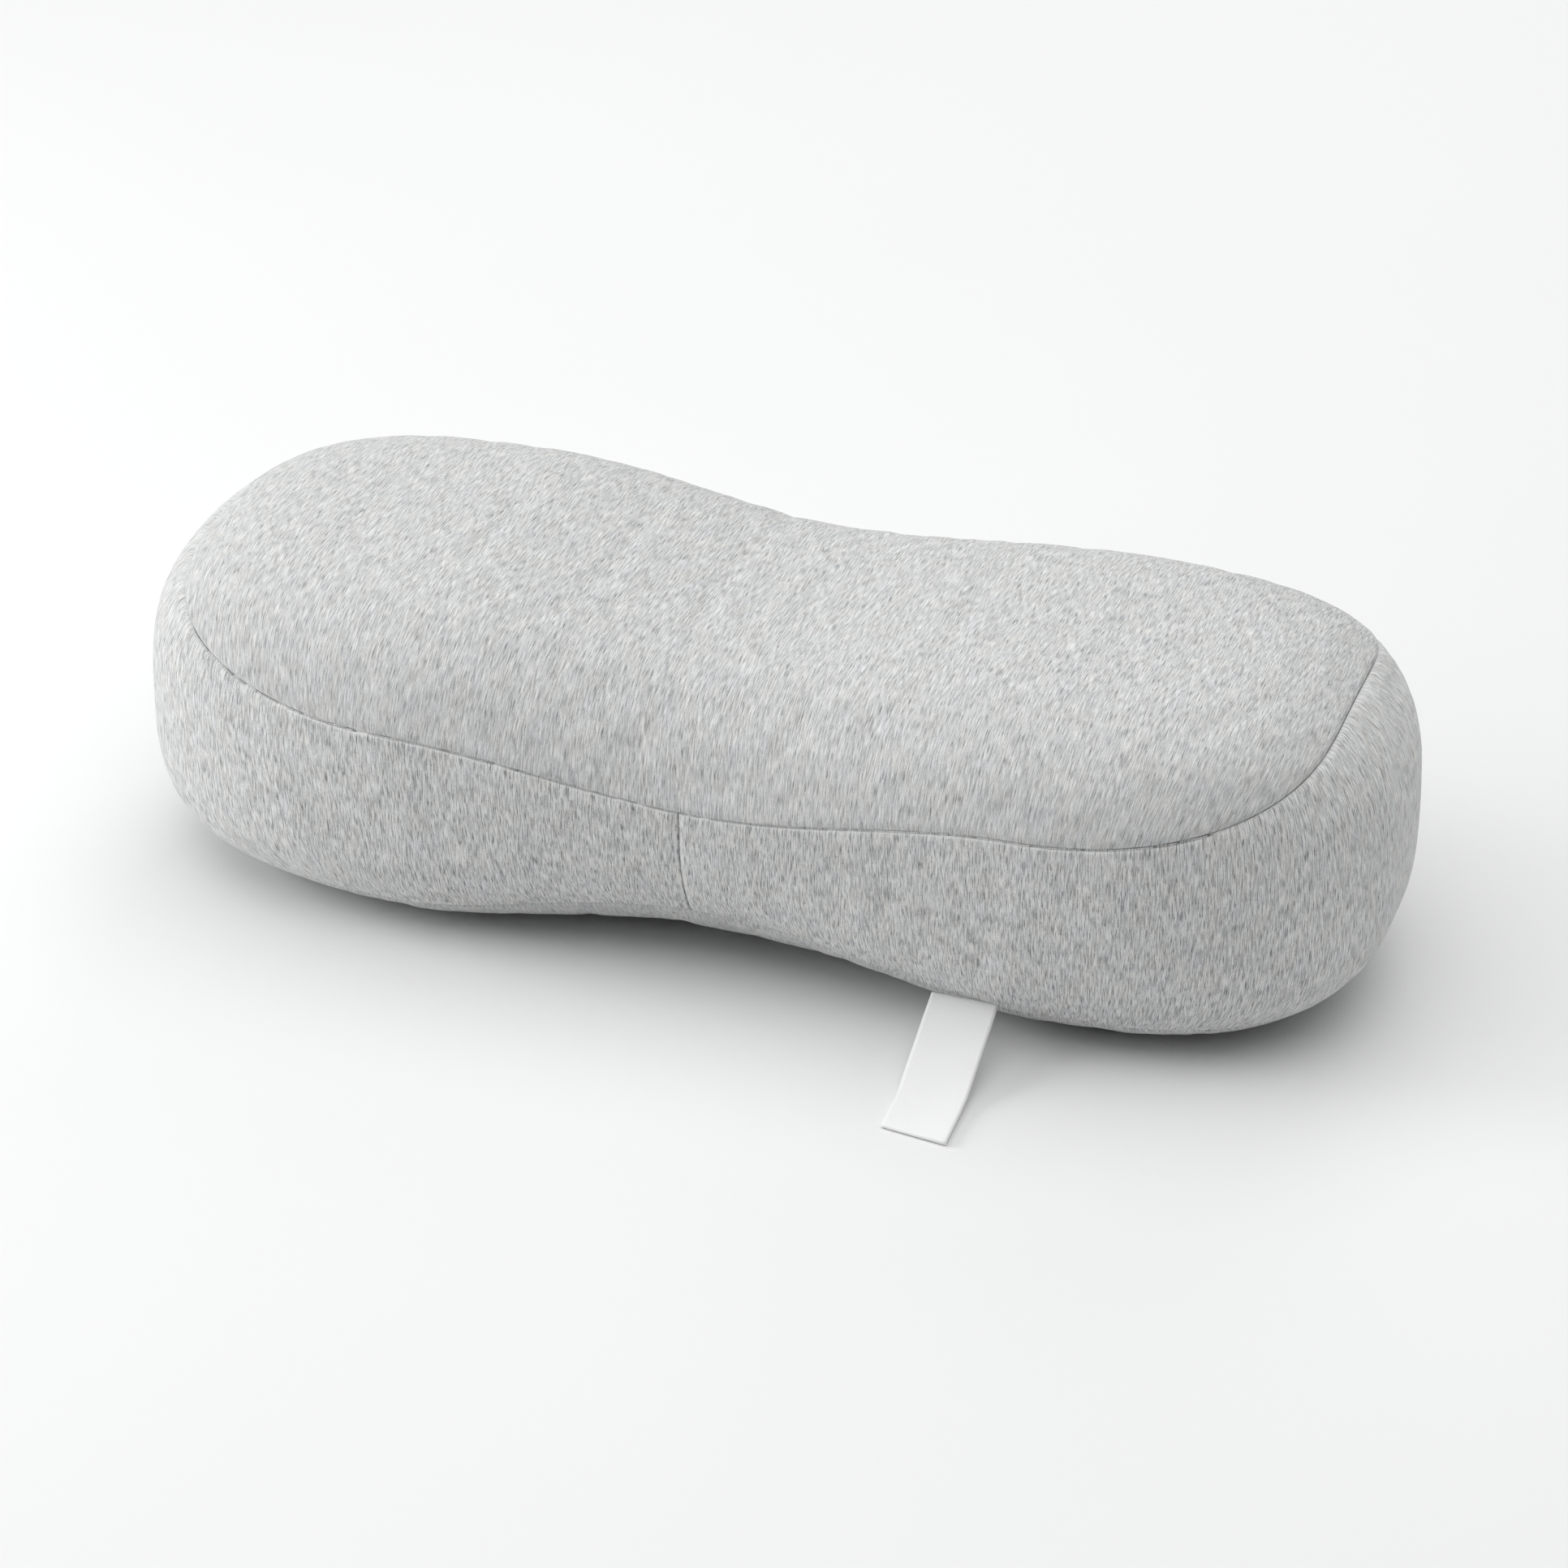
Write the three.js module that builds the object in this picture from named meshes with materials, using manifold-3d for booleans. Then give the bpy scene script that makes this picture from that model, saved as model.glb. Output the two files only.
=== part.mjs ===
// Camp pillow: a peanut-shaped jersey cover over an inner bag of micro-beads, with a zip in
// the underside and a folded care label in the bottom seam.
// Millimetres, +X along the length, +Z up. The pillow lies on its two lobes at z = 0, and the
// whole part, label included, is centred over the origin.

import * as THREE from 'three';
import { mergeVertices } from 'three/addons/utils/BufferGeometryUtils.js';
import Module from 'manifold-3d';

// ---- Driving dimensions -------------------------------------------------------------------

// Plan
const LENGTH = 600;
const LOBE_SPAN = 298; // between the centres of the two lobes
const LOBE_WIDTH = 234;
const WAIST_WIDTH = 214;
const PLAN_SQUARENESS = 2.6; // 2 gives half-ellipse ends

// Side view
const LOBE_HEIGHT = 165;
const WAIST_HEIGHT = 155;
const WAIST_LIFT = 7.5; // the waist's underside above the floor
const FLATTENING = 1.5; // how much of each lobe's underside the floor presses flat
const LOBE_WIDEST = 67; // height at which a lobe is widest
const WAIST_WIDEST = 90;

// Roundness of the section above (crown) and below (belly) the widest line: the exponents of
// its reach outwards and of its height, where 2 and 2 would be an ellipse.
const CROWN_OUT = { lobe: 4.9, waist: 4.9 };
const CROWN_UP = { lobe: 3.5, waist: 2.8 };
const BELLY_OUT = { lobe: 4.3, waist: 4 };
const BELLY_DOWN = { lobe: 2.45, waist: 2 };

// Seams
const TOP_SEAM = { lobe: 112.5, waist: 94.5, end: 152 }; // heights
const BOTTOM_SEAM = { lobe: 18.5, waist: 37, end: 20 };
const SIDE_SEAM_X = -9;
const THREAD = 0.9;
const SEAM_EASE = 0.7; // from a panel's edge to the thread

// Layers, from the outside in
const COVER = 1.1; // jersey
const INNER_BAG = 0.7; // knit lining
const BAG_SLACK = 4; // the filled bag stands this far inside the cover
const CLEARANCE = 0.3;

// Zip, recessed in a groove along the underside
const ZIP_LENGTH = 280; // stop to stop
const ZIP_HEIGHT = 9; // the cover's outer face beside the zip, above the floor
const ZIP_OPENING = 10;
const COIL_WIDTH = 1.5;
const COIL_DEPTH = 2.2;
const TAPE_WIDTH = 11;
const TAPE = 0.7;
const STOP_LENGTH = 3;
const SLIDER_LENGTH = 9;
const SLIDER_PLATE = 1.2;
const SLIDER_NECK = 0.9;
const PULL_LENGTH = 20;
const PULL_WIDTH = 5;
const PULL = 1;
const PULL_PIN = 1.2;

// Care label
const LABEL_WIDTH = 30.5;
const LABEL_X = 130;
const LABEL_REACH = 78; // from the bottom seam to its fold
const LABEL_TAPE = 0.5;
const LABEL_PLY_GAP = 0.8;
const LABEL_ROOT_GAP = 0.6;

// Mesh fineness
const STATIONS = 48; // round the plan
const DISH_ROWS = 7;
const BAND_ROWS = 6;

// ---- Materials ----------------------------------------------------------------------------

const fabric = (color, roughness) =>
  new THREE.MeshStandardMaterial({ color, roughness, metalness: 0 });
const materials = {
  jersey: fabric(0xc4c4c2, 0.95),
  thread: fabric(0x8b8b89, 0.9),
  lining: fabric(0xe9e8e4, 0.95),
  beads: fabric(0xf4f4f2, 0.8),
  tape: fabric(0xb4b4b2, 0.9),
  coil: new THREE.MeshStandardMaterial({ color: 0xa9a9a7, roughness: 0.45, metalness: 0 }),
  metal: new THREE.MeshStandardMaterial({ color: 0x9a9b9c, roughness: 0.35, metalness: 0.9 }),
  label: fabric(0xf3f3f0, 0.7),
};

// ---- The pillow's surface -----------------------------------------------------------------

const FULL_TURN = 2 * Math.PI;
const LOBE_X = LOBE_SPAN / 2;
const LOBE_REACH = LENGTH / 2 - LOBE_X;
const power = (value, exponent) => Math.abs(value) ** exponent;
const mix = (a, b, share) => a + (b - a) * share;
const smooth = (share) => {
  const s = Math.min(Math.max(share, 0), 1);
  return s * s * (3 - 2 * s);
};

// The plan at one turn (0 at the +X end, a quarter at the back of the waist): the rim, and the
// foot on the spine that its section starts from. Half the quarter turn is the lobe's end, and
// the other half is the cosine run into the waist.
function plan(turn, inset) {
  const angle = turn * FULL_TURN;
  const cosine = Math.cos(angle);
  const sine = Math.sin(angle);
  const sideX = cosine < 0 ? -1 : 1;
  const sideY = sine < 0 ? -1 : 1;
  const share = Math.atan2(Math.abs(sine), Math.abs(cosine)) / (Math.PI / 4);
  const half = LOBE_WIDTH / 2;
  if (share <= 1) {
    const round = share * Math.PI / 2;
    const out = power(Math.cos(round), 2 / PLAN_SQUARENESS) * (LOBE_REACH - inset);
    const across = power(Math.sin(round), 2 / PLAN_SQUARENESS) * (half - inset);
    return { foot: sideX * LOBE_X, x: sideX * (LOBE_X + out), y: sideY * across };
  }
  const x = LOBE_X * (2 - share);
  const blend = (1 - Math.cos(Math.PI * x / LOBE_X)) / 2;
  const across = mix(WAIST_WIDTH / 2, half, blend) - inset;
  return { foot: sideX * x, x: sideX * x, y: sideY * across };
}

// Heights that change along the pillow, at one point of the plan.
function levels(x) {
  const lobe = smooth(Math.abs(x) / LOBE_X);
  const end = ((Math.max(Math.abs(x) - LOBE_X, 0)) / LOBE_REACH) ** 2;
  const round = (set) => mix(set.waist, set.lobe, lobe);
  const along = (set) => round(set) + (set.end - set.lobe) * end;
  return {
    top: mix(WAIST_HEIGHT, LOBE_HEIGHT, lobe),
    widest: mix(WAIST_WIDEST, LOBE_WIDEST, lobe),
    bottom: mix(WAIST_LIFT, -FLATTENING, lobe),
    topSeam: along(TOP_SEAM),
    bottomSeam: along(BOTTOM_SEAM),
    crownOut: round(CROWN_OUT),
    crownUp: round(CROWN_UP),
    bellyOut: round(BELLY_OUT),
    bellyDown: round(BELLY_DOWN),
  };
}

// A point of the section over one turn, at a share of the way from the spine out to the rim.
function spot(turn, share, z, inset) {
  const rim = plan(turn, inset);
  return new THREE.Vector3(mix(rim.foot, rim.x, share), rim.y * share, z);
}

// A point of the wall at one height.
function wallPoint(turn, z, inset) {
  const at = levels(plan(turn, 0).x);
  const above = z >= at.widest;
  const reach = above ? at.top - inset - at.widest : at.widest - at.bottom - inset;
  const climb = power((z - at.widest) / reach, above ? at.crownUp : at.bellyDown);
  const share = (1 - Math.min(climb, 1)) ** (1 / (above ? at.crownOut : at.bellyOut));
  return spot(turn, share, z, inset);
}

// Top dish: out runs from 0 at the middle to 1 at the edge, whose height edge gives. The rows
// stand closer together towards the edge, where the section turns into the wall.
const EDGE_CROWDING = 1.5;
const TINY = 1e-6;
function crownPoint(turn, out, inset, edge) {
  const at = levels(plan(turn, 0).x);
  const reach = at.top - inset - at.widest;
  const start = Math.asin(Math.min(power((edge(at) - at.widest) / reach, at.crownUp / 2), 1));
  const angle = mix(start, Math.PI / 2, (1 - out) ** EDGE_CROWDING);
  const share = power(Math.cos(angle), 2 / at.crownOut);
  const z = at.widest + reach * power(Math.sin(angle), 2 / at.crownUp);
  return spot(turn, out < TINY ? 0 : share, z, inset);
}

// Bottom dish: as the top one, pressed flat by the floor and drawn up to the zip in the middle,
// with more room over the zip for what lies inside it.
// The groove is given in shares of the way out to the rim, and runs on past the zip's ends.
const ZIP_REACH = ZIP_LENGTH / 2 + STOP_LENGTH + SLIDER_LENGTH;
const GROOVE_FLAT = Math.max(0.1, (ZIP_REACH - LOBE_X) / (LENGTH / 2 - LOBE_X));
const GROOVE_FADE = 0.24;
function bellyPoint(turn, out, inset, edge, room = 0) {
  const at = levels(plan(turn, 0).x);
  const reach = at.widest - at.bottom - inset;
  const start = Math.asin(Math.min(power((at.widest - edge(at)) / reach, at.bellyDown / 2), 1));
  const full = power(Math.cos(start), 2 / at.bellyOut);
  const share = full * out;
  const drop = (1 - share ** at.bellyOut) ** (1 / at.bellyDown);
  const rest = Math.max(at.widest - reach * drop, inset);
  const groove = 1 - smooth((share - GROOVE_FLAT) / GROOVE_FADE);
  return spot(turn, share, mix(rest, ZIP_HEIGHT + inset + room, groove), inset);
}

// ---- Geometry helpers ---------------------------------------------------------------------

const WELD_DISTANCE = 1e-3;

// Welds a geometry into one closed body with its faces pointing out.
function welded(geometry) {
  geometry.deleteAttribute('normal');
  geometry.deleteAttribute('uv');
  const body = mergeVertices(geometry, WELD_DISTANCE);
  const p = body.getAttribute('position');
  const kept = [];
  let volume = 0;
  for (let i = 0; i < body.index.count; i += 3) {
    const [a, b, c] = [0, 1, 2].map((k) => body.index.getX(i + k));
    if (a === b || b === c || c === a) continue;
    kept.push(a, b, c);
    const [va, vb, vc] = [a, b, c].map((k) => new THREE.Vector3().fromBufferAttribute(p, k));
    volume += va.dot(vb.cross(vc));
  }
  if (volume < 0) kept.reverse();
  body.setIndex(kept);
  return body;
}

// Moves every vertex of a stock geometry to where place puts it.
function pressed(geometry, place) {
  const p = geometry.getAttribute('position');
  for (let i = 0; i < p.count; i += 1) {
    const target = place(p.getX(i), p.getY(i), p.getZ(i));
    p.setXYZ(i, target.x, target.y, target.z);
  }
  return welded(geometry);
}

// The share of a full turn that a point of a lathed geometry stands at.
const turnOf = (x, z) => (Math.atan2(x, z) / FULL_TURN + 1) % 1;

// A dish-shaped shell: lathed flat, its outer face at y = 0 and its inner face at y = 1, then
// pressed to the pillow's surface.
function dish(surface, inset, thickness, edge) {
  const outer = [];
  const inner = [];
  for (let row = 0; row <= DISH_ROWS; row += 1) {
    outer.push(new THREE.Vector2(row / DISH_ROWS, 0));
    inner.push(new THREE.Vector2(1 - row / DISH_ROWS, 1));
  }
  const flat = new THREE.LatheGeometry([...outer, ...inner], STATIONS);
  return pressed(flat, (x, y, z) =>
    surface(turnOf(x, z), Math.min(Math.hypot(x, z), 1), inset + y * thickness, edge));
}

// A thread of round section laid round the whole seam at the height that level gives. It is
// lathed as a ring of tube radius 1 first.
const THREAD_SIDES = 6;
const RING_RADIUS = 2;
function seamRing(level, inset, diameter) {
  const section = [];
  for (let k = 0; k <= THREAD_SIDES; k += 1) {
    const angle = (k % THREAD_SIDES) * FULL_TURN / THREAD_SIDES;
    section.push(new THREE.Vector2(RING_RADIUS + Math.cos(angle), Math.sin(angle)));
  }
  const ring = new THREE.LatheGeometry(section, STATIONS);
  return pressed(ring, (x, y, z) => {
    const turn = turnOf(x, z);
    const centre = wallPoint(turn, level(levels(plan(turn, 0).x)), inset);
    const foot = plan(turn, inset).foot;
    const out = new THREE.Vector3(centre.x - foot, centre.y, 0).normalize();
    centre.addScaledVector(out, (Math.hypot(x, z) - RING_RADIUS) * diameter / 2);
    centre.z += y * diameter / 2;
    return centre;
  });
}

const wasm = await Module();
wasm.setup();

function solid(geometry) {
  return new wasm.Manifold(new wasm.Mesh({
    numProp: 3,
    vertProperties: new Float32Array(geometry.getAttribute('position').array),
    triVerts: new Uint32Array(geometry.index.array),
  }));
}

function fromSolid(manifold) {
  const mesh = manifold.getMesh();
  const geometry = new THREE.BufferGeometry();
  geometry.setAttribute('position', new THREE.BufferAttribute(mesh.vertProperties, 3));
  geometry.setIndex(new THREE.BufferAttribute(mesh.triVerts, 1));
  return geometry;
}

// A box between two corners.
function box(low, high) {
  const size = high.map((value, k) => value - low[k]);
  const geometry = new THREE.BoxGeometry(...size);
  geometry.translate(...low.map((value, k) => value + size[k] / 2));
  return welded(geometry);
}

const pillow = new THREE.Group();
function add(name, geometry, material) {
  const mesh = new THREE.Mesh(geometry, material);
  mesh.name = name;
  pillow.add(mesh);
  return mesh;
}

// ---- Cover --------------------------------------------------------------------------------

const SEAM_HALF_GAP = THREAD / 2 + SEAM_EASE; // a panel's edge to the middle of its seam
const THREAD_INSET = COVER / 2;

add('top_panel', dish(crownPoint, 0, COVER, (at) => at.topSeam + SEAM_HALF_GAP), materials.jersey);

// One band wraps each lobe, from the back waist seam to the front one.
function band(fromTurn, toTurn) {
  const strip = new THREE.BoxGeometry(1, 1, 1, STATIONS / 2, BAND_ROWS, 1);
  return pressed(strip, (x, y, z) => {
    const turn = mix(fromTurn, toTurn, x + 0.5);
    const at = levels(plan(turn, 0).x);
    const low = at.bottomSeam + SEAM_HALF_GAP;
    const high = at.topSeam - SEAM_HALF_GAP;
    return wallPoint(turn, mix(low, high, y + 0.5), (z + 0.5) * COVER);
  });
}

// Along the waist the turn runs evenly with x: an eighth of a turn for each lobe's offset.
const turnAtX = (x) => x / LOBE_X / 8;
const seamTurn = turnAtX(SIDE_SEAM_X);
const gapTurn = turnAtX(SEAM_HALF_GAP);
const BACK = 0.25;
const FRONT = 0.75;
add('side_band_left', band(BACK - seamTurn + gapTurn, FRONT + seamTurn - gapTurn), materials.jersey);
add('side_band_right', band(FRONT + seamTurn + gapTurn - 1, BACK - seamTurn - gapTurn),
  materials.jersey);

// The underside is cut in two along its middle, with the zip's opening between the halves.
const underside = solid(dish(bellyPoint, 0, COVER, (at) => at.bottomSeam - SEAM_HALF_GAP));
const zipSlot = solid(box(
  [-ZIP_LENGTH / 2 - STOP_LENGTH, -ZIP_OPENING / 2, -LOBE_HEIGHT],
  [ZIP_LENGTH / 2 + STOP_LENGTH, ZIP_OPENING / 2, LOBE_HEIGHT],
));
function bottomHalf(side) {
  const near = side * CLEARANCE;
  const far = side * LENGTH;
  const half = solid(box(
    [-LENGTH, Math.min(near, far), -LOBE_HEIGHT],
    [LENGTH, Math.max(near, far), LOBE_HEIGHT],
  ));
  return fromSolid(underside.intersect(half).subtract(zipSlot));
}
add('bottom_panel_front', bottomHalf(-1), materials.jersey);
add('bottom_panel_back', bottomHalf(1), materials.jersey);

add('top_seam_thread', seamRing((at) => at.topSeam, THREAD_INSET, THREAD), materials.thread);
add('bottom_seam_thread', seamRing((at) => at.bottomSeam, THREAD_INSET, THREAD), materials.thread);

// The waist seams run up the band between the two seam rings.
const WAIST_STEPS = 12;
function waistThread(turn) {
  const at = levels(plan(turn, 0).x);
  const low = at.bottomSeam + SEAM_HALF_GAP;
  const high = at.topSeam - SEAM_HALF_GAP;
  const route = [];
  for (let k = 0; k <= WAIST_STEPS; k += 1) {
    route.push(wallPoint(turn, mix(low, high, k / WAIST_STEPS), THREAD_INSET));
  }
  const section = new THREE.Shape().absarc(0, 0, THREAD / 2, 0, FULL_TURN);
  return welded(new THREE.ExtrudeGeometry(section, {
    steps: WAIST_STEPS,
    curveSegments: THREAD_SIDES / 2,
    extrudePath: new THREE.CatmullRomCurve3(route),
  }));
}
add('side_seam_thread_front', waistThread(FRONT + seamTurn), materials.thread);
add('side_seam_thread_back', waistThread(BACK - seamTurn), materials.thread);

// ---- Inner bag and beads ------------------------------------------------------------------

// The zip's slider and tapes stand above the cover's inner face, so the bag starts above them.
const TAPE_BASE = ZIP_HEIGHT + COVER + CLEARANCE;
const TAPE_TOP = TAPE_BASE + TAPE;
const COIL_BASE = (TAPE_BASE + TAPE_TOP - COIL_DEPTH) / 2;
const COIL_TOP = COIL_BASE + COIL_DEPTH;
const SLIDER_TOP = Math.max(COIL_TOP, TAPE_TOP) + CLEARANCE + SLIDER_PLATE;
const BAG_INSET = COVER + BAG_SLACK;
const ZIP_ROOM = SLIDER_TOP + CLEARANCE - ZIP_HEIGHT - BAG_INSET;
const BEAD_INSET = BAG_INSET + INNER_BAG + BAG_SLACK;
const BAG_SEAM_HALF_GAP = INNER_BAG / 2 + SEAM_EASE;
const bagSeam = (at) => at.widest;

// The bag's and the beads' undersides follow the cover's, lifted over the zip.
const liftedBelly = (turn, out, inset, edge) => bellyPoint(turn, out, inset, edge, ZIP_ROOM);

add('inner_bag_upper',
  dish(crownPoint, BAG_INSET, INNER_BAG, (at) => bagSeam(at) + BAG_SEAM_HALF_GAP), materials.lining);
add('inner_bag_lower',
  dish(liftedBelly, BAG_INSET, INNER_BAG, (at) => bagSeam(at) - BAG_SEAM_HALF_GAP), materials.lining);
add('inner_bag_seam_thread', seamRing(bagSeam, BAG_INSET + INNER_BAG / 2, INNER_BAG), materials.thread);

// The beads fill the bag: lathed as a lens, its underside at y < 0.
function fill() {
  const profile = [];
  for (let row = -DISH_ROWS; row <= DISH_ROWS; row += 1) {
    profile.push(new THREE.Vector2(1 - Math.abs(row) / DISH_ROWS, row / DISH_ROWS));
  }
  const lens = new THREE.LatheGeometry(profile, STATIONS);
  return pressed(lens, (x, y, z) => {
    const surface = y < -TINY ? liftedBelly : crownPoint;
    return surface(turnOf(x, z), Math.min(Math.hypot(x, z), 1), BEAD_INSET, bagSeam);
  });
}
add('bead_fill', fill(), materials.beads);

// ---- Zip ----------------------------------------------------------------------------------

const COIL_START = SLIDER_NECK / 2 + CLEARANCE; // from the zip's middle to each coil
const COIL_END = COIL_START + COIL_WIDTH;
const TAPE_START = COIL_END + CLEARANCE;
const SLIDER_HALF_WIDTH = TAPE_START + SLIDER_PLATE;
const SLIDER_BASE = COIL_BASE - CLEARANCE - SLIDER_PLATE;

// A box on the front (side -1) or back (side 1) of the zip.
function besideZip(side, near, far, fromX, toX, low, high) {
  const ys = [side * near, side * far];
  return box([fromX, Math.min(...ys), low], [toX, Math.max(...ys), high]);
}

for (const [name, side] of [['front', -1], ['back', 1]]) {
  add(`zip_tape_${name}`, besideZip(side, TAPE_START, TAPE_START + TAPE_WIDTH,
    -ZIP_LENGTH / 2 - STOP_LENGTH, ZIP_LENGTH / 2 + STOP_LENGTH, TAPE_BASE, TAPE_TOP), materials.tape);
  add(`zip_coil_${name}`, besideZip(side, COIL_START, COIL_END,
    -ZIP_LENGTH / 2, ZIP_LENGTH / 2, COIL_BASE, COIL_TOP), materials.coil);
  add(`zip_top_stop_${name}`, besideZip(side, COIL_START, COIL_END,
    ZIP_LENGTH / 2 + CLEARANCE, ZIP_LENGTH / 2 + STOP_LENGTH, COIL_BASE, COIL_TOP), materials.metal);
}
add('zip_bottom_stop', box(
  [-ZIP_LENGTH / 2 - STOP_LENGTH, -COIL_END, COIL_BASE],
  [-ZIP_LENGTH / 2 - CLEARANCE, COIL_END, COIL_TOP],
), materials.metal);

// The slider: an upper and a lower plate joined by the neck between the coils, with rims that
// hold the coils in. Its lower plate carries two ears for the pull's pin.
const SLIDER_X = ZIP_LENGTH / 2 - SLIDER_LENGTH;
const EAR = 1;
const PIN_X = SLIDER_X + SLIDER_LENGTH / 2;
const PIN_Z = SLIDER_BASE - PULL_PIN / 2 - CLEARANCE - PULL / 2;
const EAR_INNER = PULL_WIDTH / 2 - EAR;
const PIN_SIDES = 12;
function slider() {
  const from = SLIDER_X;
  const to = SLIDER_X + SLIDER_LENGTH;
  const plate = (low, high) => solid(box(
    [from, -SLIDER_HALF_WIDTH, low], [to, SLIDER_HALF_WIDTH, high],
  ));
  let body = plate(SLIDER_BASE, SLIDER_BASE + SLIDER_PLATE)
    .add(plate(SLIDER_TOP - SLIDER_PLATE, SLIDER_TOP))
    .add(solid(box(
      [from, -SLIDER_NECK / 2, SLIDER_BASE], [to, SLIDER_NECK / 2, SLIDER_TOP],
    )));
  for (const side of [-1, 1]) {
    body = body.add(solid(besideZip(side, TAPE_START, SLIDER_HALF_WIDTH,
      from, to, SLIDER_BASE, TAPE_BASE - CLEARANCE)));
    body = body.add(solid(besideZip(side, 0, EAR_INNER,
      PIN_X - PULL_PIN, PIN_X + PULL_PIN, PIN_Z - PULL_PIN, SLIDER_BASE)));
  }
  const hole = new THREE.CylinderGeometry(
    PULL_PIN / 2 + CLEARANCE, PULL_PIN / 2 + CLEARANCE, PULL_WIDTH, PIN_SIDES,
  );
  hole.translate(PIN_X, 0, PIN_Z);
  return fromSolid(body.subtract(solid(welded(hole))));
}
add('zip_slider', slider(), materials.metal);

// The pull: a small blade with a pin across its forked end, which turns in the slider's ear.
function pull() {
  const pin = new THREE.CylinderGeometry(PULL_PIN / 2, PULL_PIN / 2, PULL_WIDTH, PIN_SIDES);
  pin.translate(PIN_X, 0, PIN_Z);
  const blade = solid(box(
    [PIN_X - PULL_LENGTH, -PULL_WIDTH / 2, PIN_Z - PULL / 2],
    [PIN_X + PULL_PIN / 2, PULL_WIDTH / 2, PIN_Z + PULL / 2],
  ));
  const fork = solid(box(
    [PIN_X - PULL_PIN - 2 * CLEARANCE - PULL, -EAR_INNER - CLEARANCE, PIN_Z - PULL],
    [PIN_X + PULL_PIN, EAR_INNER + CLEARANCE, PIN_Z + PULL],
  ));
  return fromSolid(blade.subtract(fork).add(solid(welded(pin))));
}
add('zip_pull', pull(), materials.metal);

// ---- Care label ---------------------------------------------------------------------------

// Two plies of one tape: out of the bottom seam, down to the floor, forward to the fold, and back.
// The outline is drawn in the plane of the label's length and height, then extruded across it.
const LABEL_FALL = 1.6; // how far forward it lands, in heights of the seam
const LABEL_STEPS = 10;
const FOLD_SEGMENTS = 6;
const labelTurn = FRONT + turnAtX(LABEL_X);
const labelSeam = wallPoint(labelTurn, levels(LABEL_X).bottomSeam, 0);
function label() {
  const rootY = labelSeam.y - LABEL_ROOT_GAP - THREAD / 2;
  const rootZ = labelSeam.z - THREAD;
  const foldY = labelSeam.y - LABEL_REACH;
  const stack = 2 * LABEL_TAPE + LABEL_PLY_GAP;
  const run = rootZ * LABEL_FALL;
  const middle = [];
  for (let k = 0; k <= LABEL_STEPS; k += 1) {
    const share = k / LABEL_STEPS;
    middle.push([rootY - run * share, mix(rootZ, stack / 2, smooth(share))]);
  }
  middle.push([foldY + stack / 2, stack / 2]);
  const shift = (from, to, height) => middle.slice(from, to)
    .map(([y, z]) => new THREE.Vector2(y, z + height));
  const outer = stack / 2;
  const inner = LABEL_PLY_GAP / 2;
  const shape = new THREE.Shape(shift(0, middle.length, outer));
  shape.absarc(foldY + outer, outer, outer, Math.PI / 2, 3 * Math.PI / 2);
  for (const point of shift(0, middle.length, -outer).reverse()) shape.lineTo(point.x, point.y);
  for (const point of shift(0, middle.length, -inner)) shape.lineTo(point.x, point.y);
  shape.absarc(foldY + outer, outer, inner, 3 * Math.PI / 2, Math.PI / 2, true);
  for (const point of shift(0, middle.length, inner).reverse()) shape.lineTo(point.x, point.y);
  const flat = new THREE.ExtrudeGeometry(shape, {
    depth: LABEL_WIDTH, bevelEnabled: false, curveSegments: FOLD_SEGMENTS,
  });
  // The outline's first axis becomes Y, its second Z, and the extrusion runs along X.
  return pressed(flat, (y, z, x) =>
    new THREE.Vector3(LABEL_X - LABEL_WIDTH / 2 + x, y, z));
}
add('care_label', label(), materials.label);

// The label's reach moves the middle of the footprint forward of the pillow's own middle.
const front = -labelSeam.y + LABEL_REACH;
pillow.position.y = (front - LOBE_WIDTH / 2) / 2;

export default pillow;
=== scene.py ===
"""Camp pillow: the sewn jersey cover, its stitching, the care label, and the studio it lies in."""

import math

import bmesh
import bpy
import numpy as np
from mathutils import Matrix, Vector
from mathutils.kdtree import KDTree


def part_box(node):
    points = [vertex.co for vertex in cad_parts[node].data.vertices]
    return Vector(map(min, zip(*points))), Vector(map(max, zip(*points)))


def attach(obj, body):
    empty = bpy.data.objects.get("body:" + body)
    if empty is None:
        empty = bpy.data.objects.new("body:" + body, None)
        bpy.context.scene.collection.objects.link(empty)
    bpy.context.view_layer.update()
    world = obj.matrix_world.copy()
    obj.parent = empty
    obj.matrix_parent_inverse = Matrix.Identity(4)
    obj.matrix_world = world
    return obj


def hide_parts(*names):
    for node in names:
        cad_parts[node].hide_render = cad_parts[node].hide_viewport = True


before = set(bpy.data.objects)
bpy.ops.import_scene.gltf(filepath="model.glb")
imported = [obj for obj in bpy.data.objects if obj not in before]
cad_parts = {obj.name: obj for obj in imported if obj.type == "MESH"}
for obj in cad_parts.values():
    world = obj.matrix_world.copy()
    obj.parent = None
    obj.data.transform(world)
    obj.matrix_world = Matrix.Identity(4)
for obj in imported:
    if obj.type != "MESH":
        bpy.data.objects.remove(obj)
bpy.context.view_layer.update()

MM = 0.001

# ---- Sizes from the frame, in millimetres ---------------------------------------------------


def corners(node):
    low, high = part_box(node)
    return np.array(low) / MM, np.array(high) / MM


TOP_LOW, TOP_HIGH = corners("top_panel")
LEFT_LOW, LEFT_HIGH = corners("side_band_left")
RIGHT_LOW, RIGHT_HIGH = corners("side_band_right")
LABEL_LOW, LABEL_HIGH = corners("care_label")
TAPE_LOW, TAPE_HIGH = corners("zip_tape_front")
COIL_LOW, COIL_HIGH = corners("zip_coil_front")

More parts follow.
